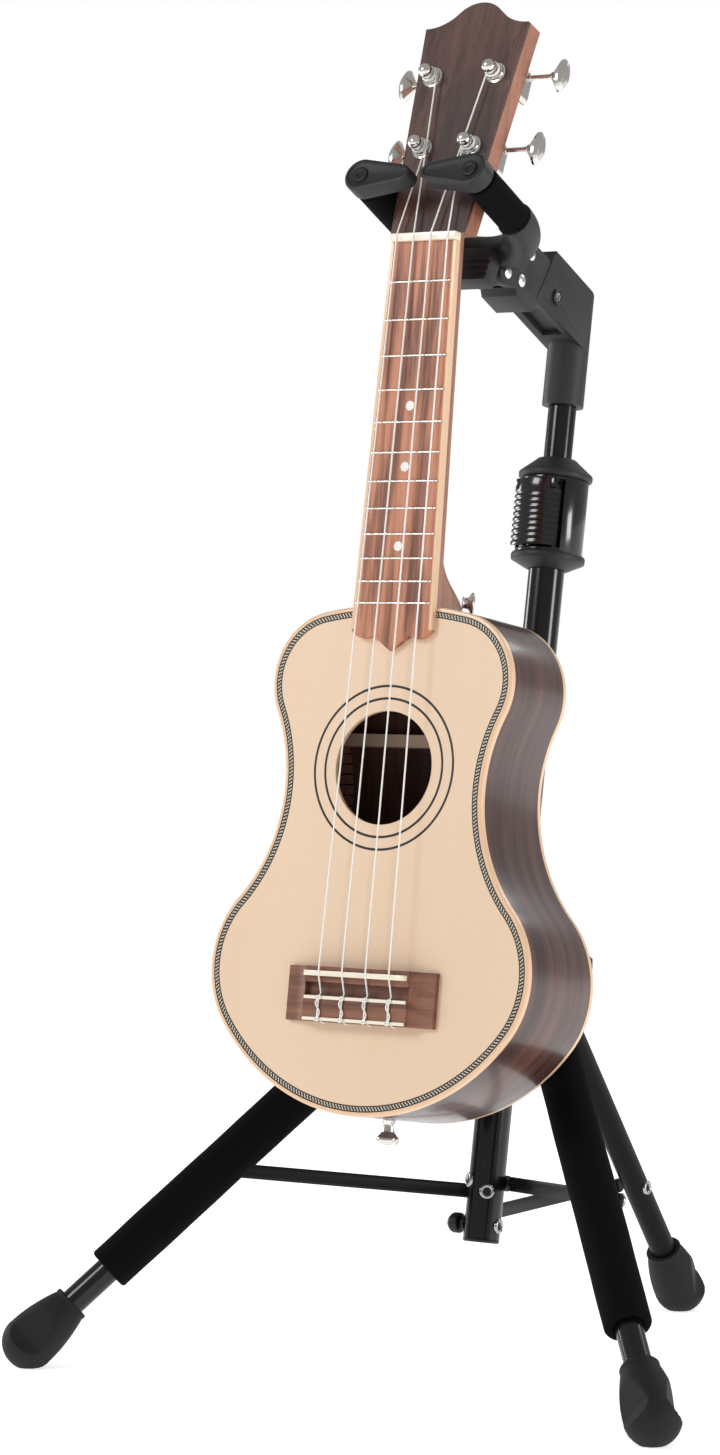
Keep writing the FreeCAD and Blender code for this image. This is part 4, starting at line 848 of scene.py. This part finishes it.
def tube_along(points, radius, steps=10):
    """A round tube through points, with closed ends."""
    points = [Vector(p) for p in points]
    verts, side = [], None
    for k, spot in enumerate(points):
        ahead = points[min(k + 1, len(points) - 1)] - points[max(k - 1, 0)]
        ahead.normalize()
        side = (side - ahead * side.dot(ahead)) if side else ahead.orthogonal()
        side.normalize()
        other = ahead.cross(side)
        verts += [tuple(spot + (side * c + other * s) * radius) for c, s in circle(steps)]
    return verts, skin(len(points), steps, capped=True)


def string_set():
    """Each string from its knot over the tie block, saddle and nut to the turns on its post."""
    head_in_uke = UKE.inverted() @ HEAD
    r = colours("ukulele_sizes").string
    first, last = tie_strips()
    tie_y = BLOCK_TOP - STRIP_PROUD
    wrap_r, wrap_steps, steps_a_turn = POST_R + r + 0.1, 40, 16
    shapes = []
    for step, name in enumerate(("lower_left", "upper_left", "upper_right", "lower_right")):
        xs, xn = (step - 1.5) * STRING_AT_SADDLE, (step - 1.5) * STRING_AT_NUT
        post = POSTS[name]
        inwards = -1 if post.x > 0 else 1
        turns = []
        for k in range(wrap_steps):
            angle = 2 * math.pi * k / steps_a_turn
            turns.append(head_in_uke @ (post + Vector((inwards * wrap_r * math.cos(angle), -3.0 - 0.055 * k,
                                                       wrap_r * math.sin(angle)))))
        run = [(xs, tie_y - r, -last), (xs, tie_y - r, -first), (xs, BLOCK_TOP + 0.8, 2.2 - first),
               (xs, BLOCK_TOP - SADDLE_HIGH - r * 0.3, -(body_top() + SADDLE_AT)),
               (xn, -NUT_HIGH - r * 0.3, -0.4), (xn, -NUT_HIGH - r * 0.2, 3.2)]
        shapes.append(tube_along(run + turns, r))
        twist = [(xs + 1.1 * math.sin(2 * math.pi * k / 20),
                  BLOCK_TOP - 0.5 - r * (1.2 + math.sin(2 * math.pi * k / 10)),
                  -(last + 0.5) + (k / 20) * (last - first + 1.4)) for k in range(21)]
        end = [(xs + 0.6, BLOCK_TOP - 0.4, 0.2 - last), (xs + 1.6, BLOCK_TOP + 1.2, -(last + 1.3)),
               (xs + 1.9, BLOCK_TOP + 2.9, -(last + 1.7))]
        shapes += [tube_along(twist, r * 0.95), tube_along(end, r * 0.95)]
        for v in (first, last):
            band = [(xs + 1.2 * c, BLOCK_TOP - 0.62 - r + 0.25 * s, -v + 0.9 * s)
                    for c, s in circle(14) + [(1.0, 0.0)]]
            shapes.append(tube_along(band, r * 0.8, 8))
    piece("strings_tied", *joined(shapes), "nylon", UKE, 60, "ukulele", "nylon", ("strings",))


def tuner_button(name):
    """An oval button with bevelled faces, a necked shaft and a collar."""
    worm = WORMS[name]
    sign = 1 if worm.x > 0 else -1
    inner, outer = 21.4, 29.2
    rings = [(inner - 1.6, 0.16), (inner, 0.26), (inner + 2.2, 0.62), (inner + 4.2, 1.0), (outer - 2.4, 1.0),
             (outer - 0.7, 0.74), (outer, 0.36)]
    half_wide, half_high, steps = 4.15, 8.7, 20
    verts = []
    for x, share in rings:
        for k, (c, s) in enumerate(circle(steps)):
            pinch = 1.0 + (0.10 * math.cos(4 * math.pi * k / steps) if share > 0.6 else 0.0)
            verts.append((sign * x, half_wide * share * c * pinch, half_high * share * s))
    plate = verts, skin(len(rings), steps, capped=True)
    profile = [(0, -4.4), (1.45, -4.4), (1.45, 4.4), (1.15, 4.6), (1.15, 8.0), (1.9, 8.1), (1.9, 9.2),
               (1.15, 9.4), (1.15, 19.0), (1.5, 20.2), (2.1, 21.5), (0, 21.7)]
    shaft = moved(spun(profile, 24, closed=False), along((0, 0, 0), (sign, 0, 0)))
    piece("button_" + name, *joined([plate, shaft]), "nickel", HEAD @ Matrix.Translation(worm), 22,
          "button_" + name, "nickel", ("tuner_button_" + name,))


def tuner_post(name):
    """A post with a waist for the string and a ball on top."""
    r = POST_R
    profile = [(0, -19.0), (3.6, -19.0), (3.6, -16.0), (r, -15.9), (r, 1.6), (2.7, 2.2), (2.55, 3.0),
               (2.55, 4.6), (2.9, 4.9), (r, 5.2), (r, 5.5), (2.3, 6.0)]
    ball_r, ball_high, ball_at, top = 3.45, 3.0, 8.05, 11.07
    ball = [(ball_r * math.cos(a), ball_at + ball_high * math.sin(a))
            for a in map(math.radians, range(-38, 90, 12))]
    shape = spun(profile + ball + [(0, top)], 32, closed=False)
    at = HEAD @ Matrix.Translation(POSTS[name]) @ TO_FRONT
    piece("post_" + name, *shape, "nickel", at, 30, "post_" + name, "nickel", ("tuner_post_" + name,))


def tuner_fittings():
    """Stepped ferrules in front, sealed cases with their screws behind."""
    rings = []
    for name in TUNERS:
        collar = spun([(3.05, -4.5), (3.05, 2.0), (3.7, 2.3), (4.3, 2.0), (4.5, 1.3), (5.3, 1.05), (5.5, 0.3),
                       (5.5, 0.0), (4.2, -0.02), (4.2, -4.5)], 40)
        rings.append(moved(collar, Matrix.Translation(POSTS[name]) @ TO_FRONT))
    piece("ferrules", *joined(rings), "nickel", HEAD, 30, "ukulele", "nickel", ("tuner_ferrules",))
    softened("tuner_housings", "nickel", 0.8, "ukulele")
    spots, outs = [], []
    case_back = 11.2 + 9.0
    for name in TUNERS:
        post = POSTS[name]
        for up in (-4.6, 8.6):
            spots.append((post.x - math.copysign(4.3, post.x), case_back, post.z + up))
            outs.append(tuple(HEAD.to_3x3() @ Y))
    tree = screws_on_points("case screws", "rivet_rim")
    grown("case_screws", tree, spots, [], HEAD, {"Radius": 1.3 * MM, "High": 0.55 * MM}, "rivet_rim",
          "ukulele", marks={"out": outs})


# ---------------------------------------------------------------- stand pieces
ARM_HALF_GAP, ARM_R, ARM_FOAM_R, ARM_FOAM_LONG = 30.6, 5.6, 8.3, 34.8
LEG_R, LEG_FOAM_R, LEG_FOAM_FROM, LEG_FOAM_TO = 6.5, 11.25, 28.0, 236.0
GATE_THICK, GATE_GAP = 9.6, 1.1
BRACE_BESIDE = {"left": 11.7, "right": 11.7, "rear": 9.2}  # from a leg's middle to its brace's near face
BRACE_THICK = 2.0
FOOT_BALL_R, FOOT_BALL_Z, FOOT_LONG = 13.5, 12.2, 28.0


def gate_piece(side, sign):
    """A gate with a raised border round a recessed field and a dished screw cap."""
    pivot_r, tip_r, reach, thick = 8.6, 4.6, 22.6, GATE_THICK
    lean = math.asin((pivot_r - tip_r) / reach)

    def loop(inset, y):
        points = []
        for k in range(25):
            angle = math.pi / 2 - lean + (math.pi + 2 * lean) * k / 24
            points.append(((pivot_r - inset) * math.cos(angle), y, (pivot_r - inset) * math.sin(angle)))
        for k in range(13):
            angle = -math.pi / 2 + lean + (math.pi - 2 * lean) * k / 12
            points.append((reach + (tip_r - inset) * math.cos(angle), y, (tip_r - inset) * math.sin(angle)))
        return [(-sign * x, y, z) for x, y, z in points]

    rings = [loop(0.9, thick), loop(0.0, thick - 0.9), loop(0.0, 0.9), loop(0.25, 0.3), loop(0.9, 0.0),
             loop(1.7, 0.0), loop(2.1, 0.6), loop(2.2, 0.65)]
    verts = [point for ring in rings for point in ring]
    faces = skin(len(rings), len(rings[0]), capped=True)
    at = YOKE @ Matrix.Translation((sign * ARM_HALF_GAP, -YOKE_REACH, 0))
    body = side + "_gate"
    piece("gate_plate_" + side, verts, faces, "moulded", at, 40, body, "moulded_black", ("gate_" + side,))
    cap = spun([(0, -0.4), (1.4, -0.35), (1.6, 0.0), (3.2, 0.35), (3.9, 0.15), (4.1, -0.8), (0, -0.9)],
               40, closed=False)
    piece("gate_cap_" + side, *cap, "moulded_dark", at @ TO_FRONT, 40, body, "moulded_black")


def foam_sleeve(inner, outer, start, end, wave):
    """A soft sleeve: slightly uneven along its length, with rounded ends and a step inside them."""
    steps, rows = 56, 40
    bore, mouth, rim = inner + 0.02, inner + 0.5, outer - 1.6
    profile = [(bore, start + 1.2), (mouth, start + 0.2), (rim, start), (outer - 0.5, start + 0.35)]
    profile += [(outer, start + 1.3 + (end - start - 2.6) * (k / rows)) for k in range(rows + 1)]
    profile += [(outer - 0.5, end - 0.35), (rim, end), (mouth, end - 0.2), (bore, end - 1.2)]
    verts = []
    for radius, height in profile:
        for k, (c, s) in enumerate(circle(steps)):
            angle = 2 * math.pi * k / steps
            swell = 0.0
            if radius > inner + 1.5:
                slow, quick = math.sin(height * 0.071 + 1.7 * s), math.sin(height * 0.19 + 2.0 * angle)
                swell = wave * (slow * 0.5 + quick * 0.3 - 0.8)
            verts.append(((radius + swell) * c, (radius + swell) * s, height))
    return verts, skin(len(profile), steps, closed=True)


def yoke_foam():
    front = GATE_THICK + GATE_GAP - YOKE_REACH
    sleeves = [moved(foam_sleeve(ARM_R, ARM_FOAM_R, 0.0, ARM_FOAM_LONG, 0.10),
                     along((sign * ARM_HALF_GAP, front, 0), (0, 1, 0))) for sign in (-1, 1)]
    obj = piece("yoke_arm_foam", *joined(sleeves), "foam", YOKE, 60, "yoke", "foam_black", ("yoke_foam",))


def leg_foam(name):
    shape = foam_sleeve(LEG_R, LEG_FOAM_R, LEG_FOAM_FROM, LEG_FOAM_TO, 0.16)
    obj = piece("leg_sleeve_" + name, *shape, "foam", leg_place(name), 60, "leg_" + name, "foam_black",
                ("leg_foam_" + name,))


def boot(name):
    """A rubber boot: collar lip, swelling body with two facets, fine ribs and a flat on the floor."""
    at = leg_place(name)
    down = at.to_3x3() @ Z
    reach = (FOOT_BALL_Z - at.translation.z) / down.z
    collar, ball, neck, facet = reach - FOOT_LONG, FOOT_BALL_R, 9.05, 9.0
    floor_way = at.to_3x3().inverted() @ Vector((0, 0, -1))
    floor_angle = math.atan2(floor_way.y, floor_way.x)
    steps = 120
    profile = [(6.55, collar + 0.8), (6.9, collar), (8.9, collar), (9.3, collar + 0.6), (9.3, collar + 1.8),
               (neck, collar + 2.2)]
    for k in range(1, 27):
        t = k / 26
        swell = math.sin(t * math.pi / 2) ** 0.9
        profile.append((neck + (ball * 0.99 - neck) * swell, collar + 2.2 + (reach - collar - 3.0) * t))
    for k in range(22):
        a = math.radians(3 + 87 * k / 21)
        profile.append((ball * math.cos(a), reach + ball * math.sin(a)))
    middle = reach - 1.0

    def surface(r, angle, height):
        """The radius, cut back to the facets and ribbed on the side towards the floor."""
        if height < collar + 2.2:
            return r
        for turn in (-66, 66):
            facing = math.cos(angle - floor_angle - math.pi - math.radians(turn))
            if facing <= 0.2:
                continue
            upper = (facet + 0.16 * max(0.0, middle - height)) / facing
            lower = (facet + 0.045 * max(0.0, height - middle + 2.0) ** 2) / facing
            r = min(r, max(upper, 8.9) if height < middle else lower)
        under = math.cos(angle - floor_angle)
        if under > -0.2 and height > middle - 6.0:
            fade = min(1.0, under + 0.2) * min(1.0, (height - middle + 6.0) / 5.0)
            r -= 0.22 * (1.0 + math.sin(angle * 34.0)) * fade
        return r

    placed = []
    for radius, height in profile:
        for k, (c, s) in enumerate(circle(steps)):
            r = max(surface(radius, 2 * math.pi * k / steps, height), 0.001)
            spot = at @ Vector((r * c, r * s, height))
            placed.append((spot.x, spot.y, max(spot.z, 0.0)))
    faces = skin(len(profile), steps, capped=True)
    piece("boot_" + name, placed, faces, "boot", None, 28, "leg_" + name, "foot_rubber", ("foot_" + name,))


def ring_rivets():
    """Rolled ring ends at both ends of each brace pin and on the rear leg; a dark disc sunk in each ring's
    hole is painted shade.
    """
    rims, hole_shades = {}, {}

    def ring(body, spot, way):
        rim = spun([(1.75, -0.5), (1.75, 0.1), (2.3, 0.75), (2.9, 0.9), (3.45, 0.55), (3.6, -0.1),
                    (3.6, -0.5)], 40)
        # The dark disc in the ring's middle stands in for the shade inside the hollow rivet: painted shade.
        middle = spun([(0, -0.45), (0, -0.05), (1.85, -0.05), (1.85, -0.45)], 32, closed=False)
        rims.setdefault(body, []).append(moved(rim, along(spot, way)))
        hole_shades.setdefault(body, []).append(moved(middle, along(spot, way)))

    for name in LEGS:
        across = joint_axis("leg_fold_" + name)
        side = -1 if name == "left" else 1
        pin = joint_point("bar_fold_" + name)
        face = BRACE_BESIDE[name] + BRACE_THICK
        ring("mast", pin - across * side * 9.35, across * -side)
        if name != "rear":
            ring("mast", pin + across * side * (face + 0.3), across * side)
        leg = leg_place(name)
        rivet = leg @ Vector((0, side * (face + 0.05), brace_join(name)))
        ring("bar_" + name, rivet, across * side)
    rear = leg_place("rear")
    ring("leg_rear", rear @ Vector((0, 0.1 - LEG_R, brace_join("rear"))), rear.to_3x3() @ -Y)
    for body in rims:
        stands = ("brace_pins",) if body == "mast" else ()
        piece("ring_rivets_" + body, *joined(rims[body]), "rivet_rim", None, 50, body, "rivet_dark", stands)
        # Dark discs put where the rivet holes hold only shade: painted shade.
        piece("rivet_middles_" + body, *joined(hole_shades[body]), "moulded_dark", None, 50, body, "rivet_dark")


def brace_join(name):
    """Distance down the leg to the rivet of its brace, from the frame's box of that brace."""
    leg = leg_place(name).inverted()
    corners = [leg @ (vertex.co / MM) for vertex in frame["nodes"]["brace_" + name].data.vertices]
    far = max(corner.z for corner in corners if abs(corner.x) < 4.5)
    return far - 3.5


def clutch_pieces():
    """Gloss housing, chamfered caps and the ribbed trigger."""
    softened("clutch_housing", "clutch_gloss", 0.5, "mast")
    softened("clutch_trigger", "clutch_gloss", 0.25, "trigger")
    softened("clutch_caps", "moulded", 0.8, "mast", angle=20.0)


def elbow_pieces():
    softened("elbow_block", "moulded", 1.1, "upper_mast")
    softened("yoke_bracket", "moulded", 0.7, "upper_mast")
    softened("yoke_fork", "moulded", 0.5, "yoke", angle=40.0)
    bolt_at = (10.4, -34.9, 4.5)

    def both_sides(shape, spots):
        return joined([moved(shape, along((sign * x, y, z), (sign, 0, 0)))
                       for x, y, z in spots for sign in (-1, 1)])

    dome = spun([(0, 1.35), (1.4, 1.25), (2.5, 0.95), (3.1, 0.4), (3.15, -0.4), (0, -0.4)], 36, closed=False)
    rivets = both_sides(dome, [(10.2, -64.7, 11.0), (10.2, -66.7, -5.0), (10.2, -79.4, -7.8)])
    piece("bracket_rivets", *rivets, "rivet_bright", YOKE, 40, "upper_mast", "rivet_bright", ("tilt_pin",))
    ring = spun([(3.9, -0.4), (3.9, 0.75), (3.3, 1.1), (2.5, 1.1), (2.3, 0.8), (2.3, -0.4)], 40)
    piece("elbow_ring", *both_sides(ring, [bolt_at]), "moulded_dark", YOKE, 40, "upper_mast", "moulded_black")
    cup = spun([(0, 0.05), (1.3, 0.1), (1.5, 0.75), (2.2, 0.85), (2.25, -0.3), (0, -0.3)], 32, closed=False)
    piece("elbow_bolt_cup", *both_sides(cup, [bolt_at]), "rivet_rim", YOKE, 40, "upper_mast", "rivet_bright",
          ("head_fasteners",))


def hub_pieces():
    softened("leg_hub", "moulded", 0.6, "hub")
    softened("hub_pins", "rivet_rim", 0.3, "hub")
    softened("hub_knob", "moulded", 0.6, "knob")
    softened("brace_cap", "moulded_dark", 0.7, "mast", angle=18.0)
    softened("mast_plug", "moulded_dark", 0.4, "mast")
    for name in LEGS:
        softened("brace_" + name, "bar", 0.3, "bar_" + name)


def tube_pieces():
    repainted("tube", "lower_tube", "upper_tube", "leg_tube_left", "leg_tube_right")
    repainted("tube_satin", "leg_tube_rear")
    repainted("moulded_dark", "tube_bush", "brace_washers")
    repainted("rivet_rim", "clutch_plates", "clutch_spring")


# ---------------------------------------------------------------- operators
class Step(bpy.types.Operator):
    bl_options = {"REGISTER", "UNDO"}


class UKULELE_OT_finishes(Step):
    """Make every material"""
    bl_idname = "ukulele.finishes"
    bl_label = "Finishes"

    def execute(self, context):
        make_finishes()
        return {"FINISHED"}


class UKULELE_OT_body(Step):
    """Sound box: sides, binding, rope purfling, linings, rosette"""
    bl_idname = "ukulele.body"
    bl_label = "Sound box"

    def execute(self, context):
        loop = outline()
        body_sides(loop)
        bindings(loop)
        purfling(loop)
        kerfing(loop)
        rosette()
        repainted("spruce", "soundboard", "body_braces")
        repainted("rosewood", "back_plate")
        repainted("mahogany", "end_blocks")
        softened("strap_buttons", "nickel", 0.25, "ukulele")
        return {"FINISHED"}


class UKULELE_OT_neck(Step):
    """Neck, headstock, fretboard, frets and markers"""
    bl_idname = "ukulele.neck"
    bl_label = "Neck"

    def execute(self, context):
        repainted("mahogany", "neck")
        repainted("board", "fretboard")
        repainted("rosewood", "head_veneer")
        fretboard_details()
        return {"FINISHED"}


class UKULELE_OT_strings(Step):
    """Bridge, saddle, nut, tie strips and strings"""
    bl_idname = "ukulele.strings"
    bl_label = "Bridge and strings"

    def execute(self, context):
        bridge_piece()
        string_set()
        return {"FINISHED"}


class UKULELE_OT_tuners(Step):
    """Tuner posts, buttons, ferrules, cases and screws"""
    bl_idname = "ukulele.tuners"
    bl_label = "Tuners"

    def execute(self, context):
        for name in TUNERS:
            tuner_post(name)
            tuner_button(name)
        tuner_fittings()
        return {"FINISHED"}


class UKULELE_OT_yoke(Step):
    """Elbow, bracket, yoke, foam and gates"""
    bl_idname = "ukulele.yoke"
    bl_label = "Yoke"

    def execute(self, context):
        elbow_pieces()
        yoke_foam()
        gate_piece("left", -1)
        gate_piece("right", 1)
        return {"FINISHED"}


class UKULELE_OT_stand(Step):
    """Tubes, clutch, hub, braces, leg foam and feet"""
    bl_idname = "ukulele.stand"
    bl_label = "Stand"

    def execute(self, context):
        tube_pieces()
        clutch_pieces()
        hub_pieces()
        ring_rivets()
        for name in ("left", "right"):
            leg_foam(name)
        for name in LEGS:
            boot(name)
        return {"FINISHED"}


class UKULELE_OT_stage(Step):
    """Floor, light and camera"""
    bl_idname = "ukulele.stage"
    bl_label = "Stage"

    def execute(self, context):
        stage()
        return {"FINISHED"}


class UKULELE_PT_panel(bpy.types.Panel):
    bl_label = "Ukulele on a stand"
    bl_idname = "UKULELE_PT_panel"
    bl_space_type = "VIEW_3D"
    bl_region_type = "UI"
    bl_category = "Ukulele"

    def draw(self, context):
        for group in ("ukulele_sizes", "ukulele_colours", "stand_colours"):
            settings = getattr(context.scene, group)
            column = self.layout.column()
            for key in settings.bl_rna.properties.keys():
                if key not in ("rna_type", "name"):
                    column.prop(settings, key)
        for operator in OPERATORS:
            self.layout.operator(operator.bl_idname)


# ---------------------------------------------------------------- stage
def stage():
    floor, far = bpy.data.meshes.new("floor"), 30.0
    floor.from_pydata([(-far, -far, 0), (far, -far, 0), (far, far, 0), (-far, far, 0)], [], [[0, 1, 2, 3]])
    ground = shown("floor", floor)
    made = Finish("floor, pale")
    ground.data.materials.append(made.close(Base_Color=(0.9, 0.9, 0.9), Roughness=0.9, Specular_IOR_Level=0.0,
                                            Emission_Color=(1.0, 1.0, 1.0), Emission_Strength=0.66))
    world = bpy.data.worlds.new("studio")
    world.use_nodes = True
    on_object, in_view = 0.42, 1.0
    nodes, links = world.node_tree.nodes, world.node_tree.links
    back = nodes["Background"]
    back.inputs["Color"].default_value = (1.0, 1.0, 1.0, 1.0)
    seen = nodes.new("ShaderNodeLightPath")
    strength = nodes.new("ShaderNodeMapRange")
    strength.inputs["To Min"].default_value = on_object
    strength.inputs["To Max"].default_value = in_view
    links.new(seen.outputs["Is Camera Ray"], strength.inputs["Value"])
    links.new(strength.outputs["Result"], back.inputs["Strength"])
    bpy.context.scene.world = world
    target = Vector((0, 0, 0.33))
    lamps = (("key", (-0.9, -1.8, 1.5), 17.0, 0.7), ("right", (1.9, 0.25, 0.5), 11.0, 0.5),
             ("left", (-1.7, -0.1, 0.5), 6.0, 0.45), ("back", (0.6, 1.6, 1.5), 5.0, 0.6))
    for name, spot, power, size in lamps:
        light = bpy.data.lights.new(name, "AREA")
        light.energy = power
        light.size = size
        lamp = shown(name, light)
        lamp.location = spot
        lamp.rotation_euler = (target - Vector(spot)).to_track_quat("-Z", "Y").to_euler()
    bpy.context.scene.view_settings.view_transform = "Standard"
    camera_at_front_right()


def camera_at_front_right():
    """A long lens at the front right, turned to the ukulele and a little down."""
    spot = (1.15635, -1.83091 + MAST.translation.y * MM, 0.37767)
    turn, down, roll = math.radians(33.85), math.radians(1.75), math.radians(0.15)
    data = bpy.data.cameras.new("camera")
    data.lens = 110.64
    data.sensor_width = 36.0
    data.shift_y = -0.00337
    data.clip_end = 200.0
    camera = shown("camera", data)
    camera.location = spot
    forward = Vector((-math.sin(turn) * math.cos(down), math.cos(turn) * math.cos(down), -math.sin(down)))
    level = forward.to_track_quat("-Z", "Y") @ Vector((0, 0, -1)).to_track_quat("-Z", "Y")
    camera.rotation_mode = "QUATERNION"
    camera.rotation_quaternion = level @ Matrix.Rotation(roll, 3, "Z").to_quaternion()
    bpy.context.scene.camera = camera


OPERATORS = (UKULELE_OT_finishes, UKULELE_OT_body, UKULELE_OT_neck, UKULELE_OT_strings, UKULELE_OT_tuners,
             UKULELE_OT_yoke, UKULELE_OT_stand, UKULELE_OT_stage)
GROUPS = (("ukulele_sizes", UkuleleSizes), ("ukulele_colours", UkuleleColours),
          ("stand_colours", StandColours))


def register():
    for name, group in GROUPS:
        bpy.utils.register_class(group)
        setattr(bpy.types.Scene, name, bpy.props.PointerProperty(type=group))
    for operator in OPERATORS:
        bpy.utils.register_class(operator)
    bpy.utils.register_class(UKULELE_PT_panel)


def unregister():
    bpy.utils.unregister_class(UKULELE_PT_panel)
    for operator in reversed(OPERATORS):
        bpy.utils.unregister_class(operator)
    for name, group in reversed(GROUPS):
        delattr(bpy.types.Scene, name)
        bpy.utils.unregister_class(group)


def main():
    register()
    for operator in OPERATORS:
        group, call = operator.bl_idname.split(".")
        getattr(getattr(bpy.ops, group), call)()
    bpy.context.view_layer.update()


if __name__ == "__main__":
    main()
